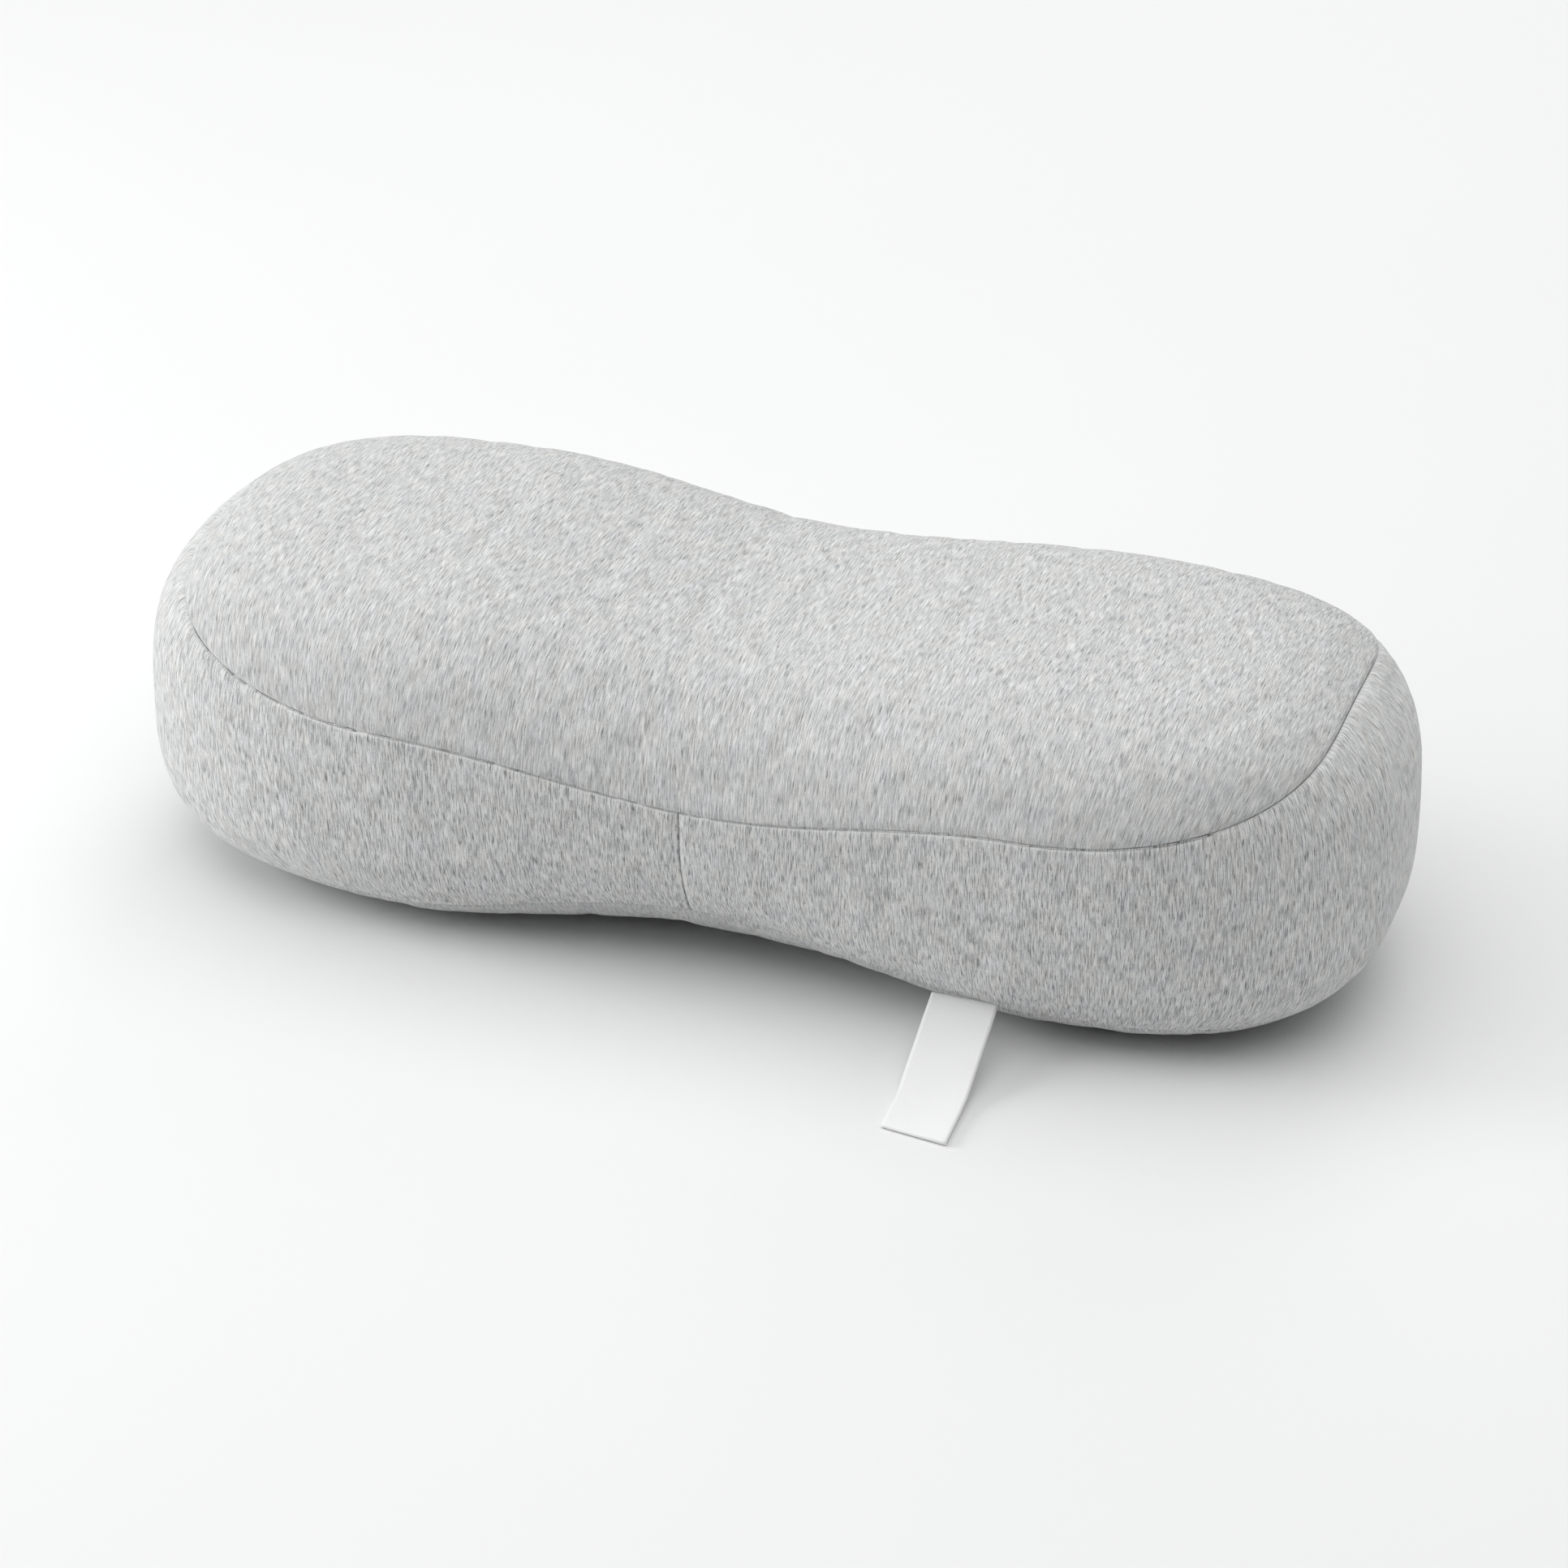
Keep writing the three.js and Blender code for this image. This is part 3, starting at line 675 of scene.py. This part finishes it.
def coil(node):
    """A nylon spiral in the space of the zip's plain CAD coil."""
    low, high = (in_pillow(v) for v in corners(node))
    middle, half = (low + high) / 2, (high - low) / 2
    turns = int((high[0] - low[0] - 2 * COIL_WIRE) / COIL_PITCH)
    angle = np.arange(turns * COIL_STEPS + 1) * 2 * math.pi / COIL_STEPS
    path = np.stack([
        low[0] + COIL_WIRE + angle / (2 * math.pi) * COIL_PITCH,
        middle[1] + np.cos(angle) * (half[1] - COIL_WIRE),
        middle[2] + np.sin(angle) * (half[2] - COIL_WIRE),
    ], 1)
    return tube(node + "_spiral", path, COIL_WIRE)


TAPE_STATIONS, TAPE_ROWS = 141, 12
TAPE_CLOTH = 0.5


def tape(node):
    """A woven zip tape in the space of its CAD strip: ribbed, with a rolled selvedge."""
    low, high = (in_pillow(v) for v in corners(node))
    x = np.linspace(low[0], high[0], TAPE_STATIONS)
    y = np.linspace(low[1], high[1], TAPE_ROWS)
    middle = (low[2] + high[2]) / 2
    grid = np.stack(np.meshgrid(x, y, [middle], indexing="ij"), -1)[:, :, 0]
    edge = np.minimum(np.arange(TAPE_ROWS), np.arange(TAPE_ROWS)[::-1])
    grid[..., 2] -= 0.06 * np.sin(x[:, None] / 7) + 0.05 * (edge == 0)[None]
    made = mesh_object(node + "_woven", grid, grid_faces(TAPE_STATIONS, TAPE_ROWS, False))
    thicken(made, TAPE_CLOTH, 0)
    return made


def rounded_copy(node, name, width):
    """The node's own form with its edges broken."""
    source = bpy.data.objects[node]
    made = bpy.data.objects.new(name, source.data.copy())
    bpy.context.scene.collection.objects.link(made)
    made.data.materials.clear()
    bevel = made.modifiers.new("edges", "BEVEL")
    bevel.width = width * MM
    bevel.segments = 2
    bevel.limit_method = "ANGLE"
    return made


LABEL_PLY = 0.32
LABEL_SLANT = 2.4  # how far it lies to the side over its length
LABEL_REACH = 3.2  # the tape lies out straighter than its drawn length
LABEL_ASIDE = 3.4
LABEL_SKEW = 4.0  # how much further its +X edge reaches than the other
LABEL_TUCK = 2.0  # its ends inside the seam
LABEL_WIDEN = 1.03  # the tape seen is a little wider than the drawn one
LABEL_ROOT = 3.0  # the upper ply leaves the seam this far above the drawn label's top
LABEL_FLAT = 1.9  # the height at which the upper ply lies on the lower one
LABEL_FOLD = 0.75  # the fold's radius
LABEL_LANDS = 0.66  # the share of its length at which the upper ply comes down
LABEL_POINTS, FOLD_POINTS, LABEL_COLUMNS = 72, 10, 21


def care_label():
    """A loop of satin tape: out of the seam, straight down to the floor, folded, and back. The
    upper ply lies a little shifted on the lower one, and gapes from it at one edge."""
    low, high = in_pillow(LABEL_LOW), in_pillow(LABEL_HIGH)
    width = (high[0] - low[0]) * LABEL_WIDEN
    middle = (high[0] + low[0]) / 2 - LABEL_ASIDE
    root = np.array([high[1] + LABEL_TUCK, high[2] + LABEL_ROOT])
    reach = root[0] - (low[1] + LABEL_FOLD) + LABEL_REACH
    share = np.linspace(0, 1, LABEL_POINTS)
    y = root[0] - reach * share
    fall = 1 - share / LABEL_LANDS
    upper = LABEL_FLAT + (root[1] - LABEL_FLAT) * 0.5 * (fall + np.sqrt(fall**2 + 0.012))
    narrowing = 1 - 0.25 * smooth((share - 0.7) / 0.3)
    gap = 2 * LABEL_FOLD * smooth(share / 0.35) * narrowing + 0.36
    lower = np.maximum(upper - gap, LABEL_PLY / 2)
    turn = np.linspace(math.pi / 2, -math.pi / 2, FOLD_POINTS)[1:-1]
    half = (upper[-1] - lower[-1]) / 2
    bend = np.stack([y[-1] - np.cos(turn) * half, lower[-1] + half + np.sin(turn) * half], 1)
    path = np.concatenate([np.stack([y, upper], 1), bend, np.stack([y, lower], 1)[::-1]])
    travel = np.concatenate([[0], np.cumsum(np.linalg.norm(np.diff(path, axis=0), axis=1))])
    across = np.linspace(-0.5, 0.5, LABEL_COLUMNS)[None]
    lag = ((root[0] - path[:, 0]) / reach)[:, None]
    top_side = 1 - smooth((np.arange(len(path))[:, None] - len(share)) / 9)
    bow = np.sin(math.pi * np.minimum(lag, 1))  # the lower ply lies a little to the side
    shift = LABEL_SLANT * (lag - 0.45) - 0.9 * (1 - top_side) * bow
    points = np.zeros((len(path), across.size, 3))
    points[..., 0] = middle + across * width + shift
    points[..., 1] = path[:, :1] - LABEL_SKEW * (across - 0.5) * smooth(lag)
    gape = 0.9 * smooth((across + 0.1) / 0.6) * smooth((lag - 0.45) / 0.35) * (1 - 0.5 * lag)
    curl = 0.25 * (2 * across) ** 2 * smooth(lag / 0.4) * (1 - 0.6 * lag)
    ripple = 0.25 * np.sin(lag * 17 + across * 3) * smooth(lag / 0.2) * (1 - 0.7 * lag)
    points[..., 2] = path[:, 1:] + top_side * (gape + ripple) + np.maximum(curl, 0) * top_side
    grain = np.zeros(points.shape)
    grain[..., 0] = across * width
    grain[..., 1] = travel[:, None]
    made = mesh_object("care_label_tape", points, grid_faces(len(path), across.size, False),
                       {"grain": grain * MM})
    thicken(made, LABEL_PLY, 0)
    return made, (width * MM, travel[-1] * MM)


BAG_ROWS = 26


def inner_shell(name, inset, turns, part):
    """A panel of the inner bag, or the beads' surface, inside the cover."""
    points, travel, _ = sections(turns)
    widest = travel[:, SECTION_STEPS - 1]
    start, stop = {
        "upper": (np.zeros(len(turns)), widest - SEAM_GAP),
        "lower": (widest + SEAM_GAP, travel[:, -1]),
        "whole": (np.zeros(len(turns)), travel[:, -1]),
    }[part]
    count = BAG_ROWS if part != "whole" else 2 * BAG_ROWS
    wanted = start[:, None] + (stop - start)[:, None] * np.linspace(0, 1, count)[None]
    surface = resample(points, travel, wanted)
    normals = grid_normals(surface, True)
    if part != "lower":
        normals[:, 0] = [0, 0, 1]
    if part != "upper":
        normals[:, -1] = [0, 0, -1]
    shape = surface - normals * inset
    grain = np.zeros(shape.shape)
    grain[..., 0], grain[..., 1] = shape[..., 0], shape[..., 1] + shape[..., 2]
    made = mesh_object(name, shape, grid_faces(len(turns), count, True), {"grain": grain * MM})
    weld(made)
    rim = -1 if part == "upper" else 0
    return made, shape[:, rim], normals[:, rim]


# ---- Materials ----------------------------------------------------------------------------------


class Nodes:
    """Short names for building a node tree."""

    def __init__(self, name):
        self.material = bpy.data.materials.new(name)
        self.material.use_nodes = True
        self.tree = self.material.node_tree
        self.shader = self.tree.nodes["Principled BSDF"]

    def add(self, kind, **settings):
        node = self.tree.nodes.new(kind)
        for key, value in settings.items():
            setattr(node, key, value)
        return node

    def link(self, source, target):
        self.tree.links.new(source, target)

    def value(self, operation, *inputs):
        node = self.add("ShaderNodeMath", operation=operation)
        for k, item in enumerate(inputs):
            if isinstance(item, (int, float)):
                node.inputs[k].default_value = item
            else:
                self.link(item, node.inputs[k])
        return node.outputs[0]

    def stretched(self, vector, scale, offset=(0, 0, 0)):
        node = self.add("ShaderNodeMapping")
        node.inputs["Scale"].default_value = scale
        node.inputs["Location"].default_value = offset
        self.link(vector, node.inputs["Vector"])
        return node.outputs[0]

    def noise(self, vector, detail=2.0, roughness=0.5):
        node = self.add("ShaderNodeTexNoise")
        node.inputs["Scale"].default_value = 1.0
        node.inputs["Detail"].default_value = detail
        node.inputs["Roughness"].default_value = roughness
        self.link(vector, node.inputs["Vector"])
        return node.outputs["Fac"]

    def ramp(self, source, low, high, curve="LINEAR"):
        node = self.add("ShaderNodeMapRange", interpolation_type=curve)
        node.inputs["From Min"].default_value = low
        node.inputs["From Max"].default_value = high
        self.link(source, node.inputs["Value"])
        return node.outputs["Result"]

    def mixed(self, share, first, second):
        node = self.add("ShaderNodeMix", data_type="RGBA")
        for index, item in ((0, share), (6, first), (7, second)):
            socket = node.inputs[index]
            if isinstance(item, (tuple, float)):
                socket.default_value = item
            else:
                self.link(item, socket)
        return node.outputs[2]

    def bump(self, height, distance, strength=1.0):
        node = self.add("ShaderNodeBump")
        node.inputs["Distance"].default_value = distance
        node.inputs["Strength"].default_value = strength
        self.link(height, node.inputs["Height"])
        self.link(node.outputs["Normal"], self.shader.inputs["Normal"])


WARM_FIBRE = (0.845, 0.843, 0.822, 1)
COOL_FIBRE = (0.825, 0.837, 0.840, 1)
DARK_FIBRE = (0.235, 0.241, 0.248, 1)


def jersey_material(name, contrast, seam_highlight):
    """Heather jersey: fine streaks of pale and dark fibre along the cloth's rows, sparse dark
    flecks, faint warm and cool patches, a painted highlight beside the seams, and a soft
    knitted nap."""
    n = Nodes(name)
    cloth = n.add("ShaderNodeAttribute", attribute_name="grain").outputs["Vector"]
    streak = n.noise(n.stretched(cloth, (1750, 125, 1)), 2.0, 0.6)
    broad = n.noise(n.stretched(cloth, (620, 80, 1), (3, 7, 0)), 2.0, 0.5)
    loops = n.noise(n.stretched(cloth, (1700, 900, 1), (8, 1, 0)), 1.0, 0.5)
    fleck = n.noise(n.stretched(cloth, (2000, 150, 1), (11, 5, 0)), 1.0, 0.5)
    patch = n.noise(n.stretched(cloth, (130, 70, 1), (2, 9, 0)), 2.0, 0.6)
    tint = n.noise(n.stretched(cloth, (95, 60, 1), (21, 4, 0)), 2.0, 0.6)

    spread = 0.17 / contrast
    streaks = n.ramp(streak, 0.5 - spread, 0.5 + spread)
    broads = n.ramp(broad, 0.5 - 1.2 * spread, 0.5 + 1.2 * spread)
    patches = n.ramp(patch, 0.3, 0.7)
    level = n.value("ADD", n.value("MULTIPLY", streaks, 0.58), n.value("MULTIPLY", broads, 0.24))
    level = n.value("ADD", level, n.value("MULTIPLY", patches, 0.07))
    level = n.value("ADD", level, n.value("MULTIPLY", loops, 0.34 * contrast))
    flecks = n.ramp(fleck, 0.58, 0.70)
    level = n.value("SUBTRACT", level, n.value("MULTIPLY", flecks, 0.46 * contrast))

    light = n.mixed(n.ramp(tint, 0.4, 0.6), WARM_FIBRE, COOL_FIBRE)
    cloud = n.noise(n.stretched(cloth, (34, 22, 1), (5, 14, 0)), 2.0, 0.5)
    clouds = n.value("MULTIPLY", n.value("SUBTRACT", cloud, 0.5), 0.3 * (contrast - 0.9))
    level = n.value("ADD", level, clouds)

    # Painted highlight: the cloth is paler in a thin strip just beside a seam, where its turned-up
    # edge would catch the light; gathered seams get none.
    seam = n.add("ShaderNodeAttribute", attribute_name="seam").outputs["Vector"]
    parts = n.add("ShaderNodeSeparateXYZ")
    n.link(seam, parts.inputs[0])
    to_seam, along_seam, gathered = parts.outputs
    near = n.value("SUBTRACT", 1, n.ramp(to_seam, 0.0013, 0.0022))
    beside = n.value("MULTIPLY", n.ramp(to_seam, 0.0006, 0.0009), near)
    smooth_seam = n.value("SUBTRACT", 1, n.ramp(gathered, 0, 0.0007))
    beside = n.value("MULTIPLY", beside, smooth_seam)
    level = n.value("ADD", level, n.value("MULTIPLY", beside, seam_highlight))
    n.link(n.mixed(level, DARK_FIBRE, light), n.shader.inputs["Base Color"])
    n.shader.inputs["Roughness"].default_value = 0.92
    n.shader.inputs["Specular IOR Level"].default_value = 0.2
    n.shader.inputs["Sheen Weight"].default_value = 0.25
    n.shader.inputs["Sheen Roughness"].default_value = 0.5

    # The nap, and the fine gathers that fade away from the top seam round the lobes' ends.
    wander = n.noise(n.stretched(seam, (60, 60, 1)), 2.0, 0.5)
    strides = n.value("MULTIPLY", along_seam, 1650)
    phase = n.value("ADD", strides, n.value("MULTIPLY", wander, 9))
    fade = n.value("EXPONENT", n.value("MULTIPLY", to_seam, -80))
    gather = n.value("MULTIPLY", n.value("MULTIPLY", gathered, 1000), fade)
    folds = n.value("MULTIPLY", n.value("SINE", phase), gather)
    nap = n.value("ADD", n.value("MULTIPLY", streak, 0.7), n.value("MULTIPLY", broad, 0.6))
    n.bump(n.value("ADD", nap, n.value("MULTIPLY", folds, 0.6)), 0.00025, 0.55)
    return n.material


def thread_material():
    n = Nodes("spun_thread")
    spot = n.add("ShaderNodeTexCoord").outputs["Object"]
    twist = n.noise(n.stretched(spot, (2500, 2500, 2500)), 2.0, 0.6)
    colour = n.mixed(twist, (0.16, 0.16, 0.165, 1), (0.30, 0.30, 0.30, 1))
    n.link(colour, n.shader.inputs["Base Color"])
    n.shader.inputs["Roughness"].default_value = 0.8
    n.bump(twist, 0.0002, 0.5)
    return n.material


def label_material():
    """White woven satin: fine ribs across the tape, with a soft sheen."""
    n = Nodes("label_satin")
    cloth = n.add("ShaderNodeAttribute", attribute_name="grain").outputs["Vector"]
    rib = n.noise(n.stretched(cloth, (260, 3200, 1)), 2.0, 0.6)
    weave = n.noise(n.stretched(cloth, (2600, 900, 1), (5, 2, 0)), 1.0, 0.5)
    colour = n.mixed(rib, (0.91, 0.915, 0.915, 1), (0.98, 0.985, 0.98, 1))
    n.link(colour, n.shader.inputs["Base Color"])
    n.shader.inputs["Roughness"].default_value = 0.55
    n.shader.inputs["Specular IOR Level"].default_value = 0.35
    n.shader.inputs["Sheen Weight"].default_value = 0.1
    n.bump(n.value("ADD", rib, n.value("MULTIPLY", weave, 0.5)), 0.0002, 0.5)
    return n.material


def plain_material(name, low, high, scale, roughness, metallic=0.0):
    n = Nodes(name)
    spot = n.add("ShaderNodeTexCoord").outputs["Object"]
    grainy = n.noise(n.stretched(spot, scale), 3.0, 0.6)
    n.link(n.mixed(grainy, low + (1,), high + (1,)), n.shader.inputs["Base Color"])
    n.shader.inputs["Roughness"].default_value = roughness
    n.shader.inputs["Metallic"].default_value = metallic
    n.bump(grainy, 0.0001, 0.4)
    return n.material


# One cloth in two copies: the bands' copy has more contrast, standing in for the raking light
# across them, and a stronger painted highlight beside its seams than the top's.
JERSEY = jersey_material("heather_jersey", 1.0, 0.06)
BAND_JERSEY = jersey_material("heather_jersey_band", 1.55, 0.42)
THREAD = thread_material()
SATIN = label_material()
# Each with its darker and paler colour, its grain per metre, its roughness and its metalness.
LINING, BEADS, TAPE, COIL, METAL = (plain_material(*look) for look in (
    ("lining_knit", (0.70, 0.69, 0.66), (0.84, 0.83, 0.80), (900, 900, 400), 0.9),
    ("foamed_beads", (0.82, 0.82, 0.80), (0.92, 0.92, 0.90), (1200, 1200, 1200), 0.7),
    ("zip_tape_weave", (0.40, 0.40, 0.39), (0.54, 0.54, 0.53), (500, 1500, 900), 0.85),
    ("zip_coil_nylon", (0.38, 0.38, 0.37), (0.46, 0.46, 0.45), (800, 800, 800), 0.4),
    ("zip_metal", (0.46, 0.47, 0.48), (0.58, 0.59, 0.60), (300, 900, 300), 0.32, 1.0),
))

# ---- The pillow's pieces ------------------------------------------------------------------------

BAG_INSET = 6.0
BAG_CLOTH = 0.6
BEAD_INSET = 7.4
BAG_STATION = 9
STOP_EDGE, SLIDER_EDGE, PULL_EDGE = 0.3, 0.22, 0.2


def fit(piece, material, slot, *nodes, body="pillow"):
    """Gives a piece its material and its place in the frame."""
    piece.data.materials.clear()
    piece.data.materials.append(material)
    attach(piece, body)
    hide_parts(*nodes)


def cover():
    round_turns, round_along = whole_turns(STATION)
    made = {}
    made["top_panel"] = panel("cover_top", "crown", round_turns, round_along, 0, closed=True)
    for node, number, first, last in (
        ("side_band_left", 1, seam_turn(1), seam_turn(-1)),
        ("side_band_right", 2, seam_turn(-1), seam_turn(1) + 1),
    ):
        turns, along = station_turns(first, last, True)
        name = "cover_" + node.replace("side_", "")
        made[node] = panel(name, "band", turns, along, number)
    for node, number, first, last in (
        ("bottom_panel_front", 3, 0.5, 1.0),
        ("bottom_panel_back", 4, 0.0, 0.5),
    ):
        turns, along = station_turns(first, last, True)
        name = "cover_" + node.replace("_panel", "")
        made[node] = panel(name, "belly", turns, along, number)
    for node, (piece, _, _) in made.items():
        thicken(piece, CLOTH)
        fit(piece, BAND_JERSEY if "band" in node else JERSEY, "jersey", node)
    return made


def seams(made):
    _, top, top_normals = made["top_panel"]
    ring = stitches("top_seam_stitches", top[:, -1], top_normals[:, -1], STITCH_DEPTH, closed=True)
    fit(ring, THREAD, "thread", "top_seam_thread")
    lines, ups = [], []
    for node in ("bottom_panel_back", "bottom_panel_front"):
        _, outer, normals = made[node]
        lines.append(outer[:, 0])
        ups.append(normals[:, 0])
    ring = stitches("bottom_seam_stitches", np.concatenate(lines), np.concatenate(ups),
                    STITCH_DEPTH, closed=True)
    fit(ring, THREAD, "thread", "bottom_seam_thread")
    _, outer, normals = made["side_band_left"]
    for side, column in (("back", 0), ("front", -1)):
        row = stitches(f"side_seam_stitches_{side}", outer[column, 2:-2], normals[column, 2:-2],
                       STITCH_DEPTH)
        fit(row, THREAD, "thread", f"side_seam_thread_{side}")


def inside():
    turns, _ = whole_turns(BAG_STATION)
    upper, rim, rim_normals = inner_shell("inner_bag_crown", BAG_INSET, turns, "upper")
    lower, _, _ = inner_shell("inner_bag_belly", BAG_INSET, turns, "lower")
    for piece, node in ((upper, "inner_bag_upper"), (lower, "inner_bag_lower")):
        thicken(piece, BAG_CLOTH)
        fit(piece, LINING, "lining", node)
    ring = stitches("inner_bag_stitches", rim, rim_normals, 0.1, radius=0.25, closed=True)
    fit(ring, THREAD, "thread", "inner_bag_seam_thread")
    beads, _, _ = inner_shell("bead_mass", BEAD_INSET, turns, "whole")
    fit(beads, BEADS, "beads", "bead_fill")


def zip_pieces():
    for side in ("front", "back"):
        fit(coil(f"zip_coil_{side}"), COIL, "coil", f"zip_coil_{side}")
        fit(tape(f"zip_tape_{side}"), TAPE, "tape", f"zip_tape_{side}")
    for node, kind, edge, body in (
        ("zip_top_stop_front", "crimp", STOP_EDGE, "pillow"),
        ("zip_top_stop_back", "crimp", STOP_EDGE, "pillow"),
        ("zip_bottom_stop", "crimp", STOP_EDGE, "pillow"),
        ("zip_slider", "cast", SLIDER_EDGE, "slider"),
        ("zip_pull", "cast", PULL_EDGE, "pull"),
    ):
        fit(rounded_copy(node, f"{node}_{kind}", edge), METAL, "metal", node, body=body)


seams(cover())
inside()
zip_pieces()
label, label_flat = care_label()
fit(label, SATIN, "label", "care_label", body="label")

# ---- Studio -------------------------------------------------------------------------------------

CAMERA_ELEVATION = math.radians(30.91)
CAMERA_AZIMUTH = math.radians(19.51)
CAMERA_DISTANCE = 2457.5
SENSOR = 36
FOCAL = 6214.8 / 1932 * SENSOR  # 3.217 image widths
TARGET_ASIDE, TARGET_BEYOND = 3.5, 86.4


def camera():
    a, e = CAMERA_AZIMUTH, CAMERA_ELEVATION
    aside = np.array([math.cos(a), math.sin(a), 0])
    beyond = np.array([-math.sin(a), math.cos(a), 0])
    target = aside * TARGET_ASIDE + beyond * TARGET_BEYOND + [0, MIDDLE_Y, 0]
    ahead = beyond * math.cos(e) - np.array([0, 0, math.sin(e)])
    data = bpy.data.cameras.new("camera")
    data.lens = FOCAL
    data.sensor_width = SENSOR
    data.clip_end = 100
    made = bpy.data.objects.new("camera", data)
    made.location = Vector((target - ahead * CAMERA_DISTANCE) * MM)
    made.rotation_mode = "QUATERNION"
    made.rotation_quaternion = Vector(ahead).to_track_quat("-Z", "Y")
    bpy.context.scene.collection.objects.link(made)
    bpy.context.scene.camera = made


FLOOR_RADIUS = 2.4  # metres
FLOOR_SIDES = 128


def floor():
    mesh = bpy.data.meshes.new("floor")
    angle = np.arange(FLOOR_SIDES) * 2 * math.pi / FLOOR_SIDES
    rim = FLOOR_RADIUS * np.stack([np.cos(angle), np.sin(angle), angle * 0], 1)
    mesh.from_pydata(rim.tolist(), [], [tuple(range(FLOOR_SIDES))])
    made = bpy.data.objects.new("floor", mesh)
    bpy.context.scene.collection.objects.link(made)
    n = Nodes("floor_paint")
    spot = n.add("ShaderNodeTexCoord").outputs["Object"]
    grainy = n.noise(n.stretched(spot, (3, 3, 3)), 2.0, 0.5)
    colour = n.mixed(grainy, (0.865, 0.867, 0.87, 1), (0.88, 0.882, 0.885, 1))
    n.link(colour, n.shader.inputs["Base Color"])
    n.shader.inputs["Roughness"].default_value = 0.9
    n.shader.inputs["Specular IOR Level"].default_value = 0.1
    made.data.materials.append(n.material)


AIM = (0, 0, 0.05)
LIGHTS = {  # place and diameter in metres, power in watts
    "ceiling": ((0, 0, 3.5), 6.0, 139),
    "room": ((0, 0, 5.0), 14.0, 54),
    "left": ((-2.4, -0.5, 1.0), 1.2, 26),
    "front_left": ((-1.9, -1.2, 0.9), 1.2, 8),
    "right": ((2.2, 0.3, 1.4), 1.8, 5),
    "back": ((0, 2.4, 1.6), 1.8, 13),
}
WORLD_STRENGTH = 0.04
BACKDROP = (0.604, 0.609, 0.609, 1)  # as bright as the floor's far edge seen from behind


def area_light(name, place, size, power):
    data = bpy.data.lights.new(name, "AREA")
    data.shape = "DISK"
    data.size = size
    data.energy = power
    made = bpy.data.objects.new(name, data)
    made.location = place
    made.rotation_mode = "QUATERNION"
    made.rotation_quaternion = (Vector(AIM) - Vector(place)).to_track_quat("-Z", "Y")
    bpy.context.scene.collection.objects.link(made)


def studio():
    world = bpy.data.worlds.new("studio")
    world.use_nodes = True
    tree = world.node_tree
    background = tree.nodes["Background"]
    background.inputs["Color"].default_value = (1, 1, 1, 1)
    background.inputs["Strength"].default_value = WORLD_STRENGTH
    # Only the camera sees the backdrop behind the floor: it adds no light to the object.
    backdrop = tree.nodes.new("ShaderNodeBackground")
    backdrop.inputs["Color"].default_value = BACKDROP
    seen = tree.nodes.new("ShaderNodeLightPath")
    either = tree.nodes.new("ShaderNodeMixShader")
    tree.links.new(seen.outputs["Is Camera Ray"], either.inputs[0])
    tree.links.new(background.outputs[0], either.inputs[1])
    tree.links.new(backdrop.outputs[0], either.inputs[2])
    tree.links.new(either.outputs[0], tree.nodes["World Output"].inputs["Surface"])
    bpy.context.scene.world = world
    for name, (place, size, power) in LIGHTS.items():
        area_light(name, place, size, power)
    bpy.context.scene.view_settings.view_transform = "Standard"


camera()
floor()
studio()
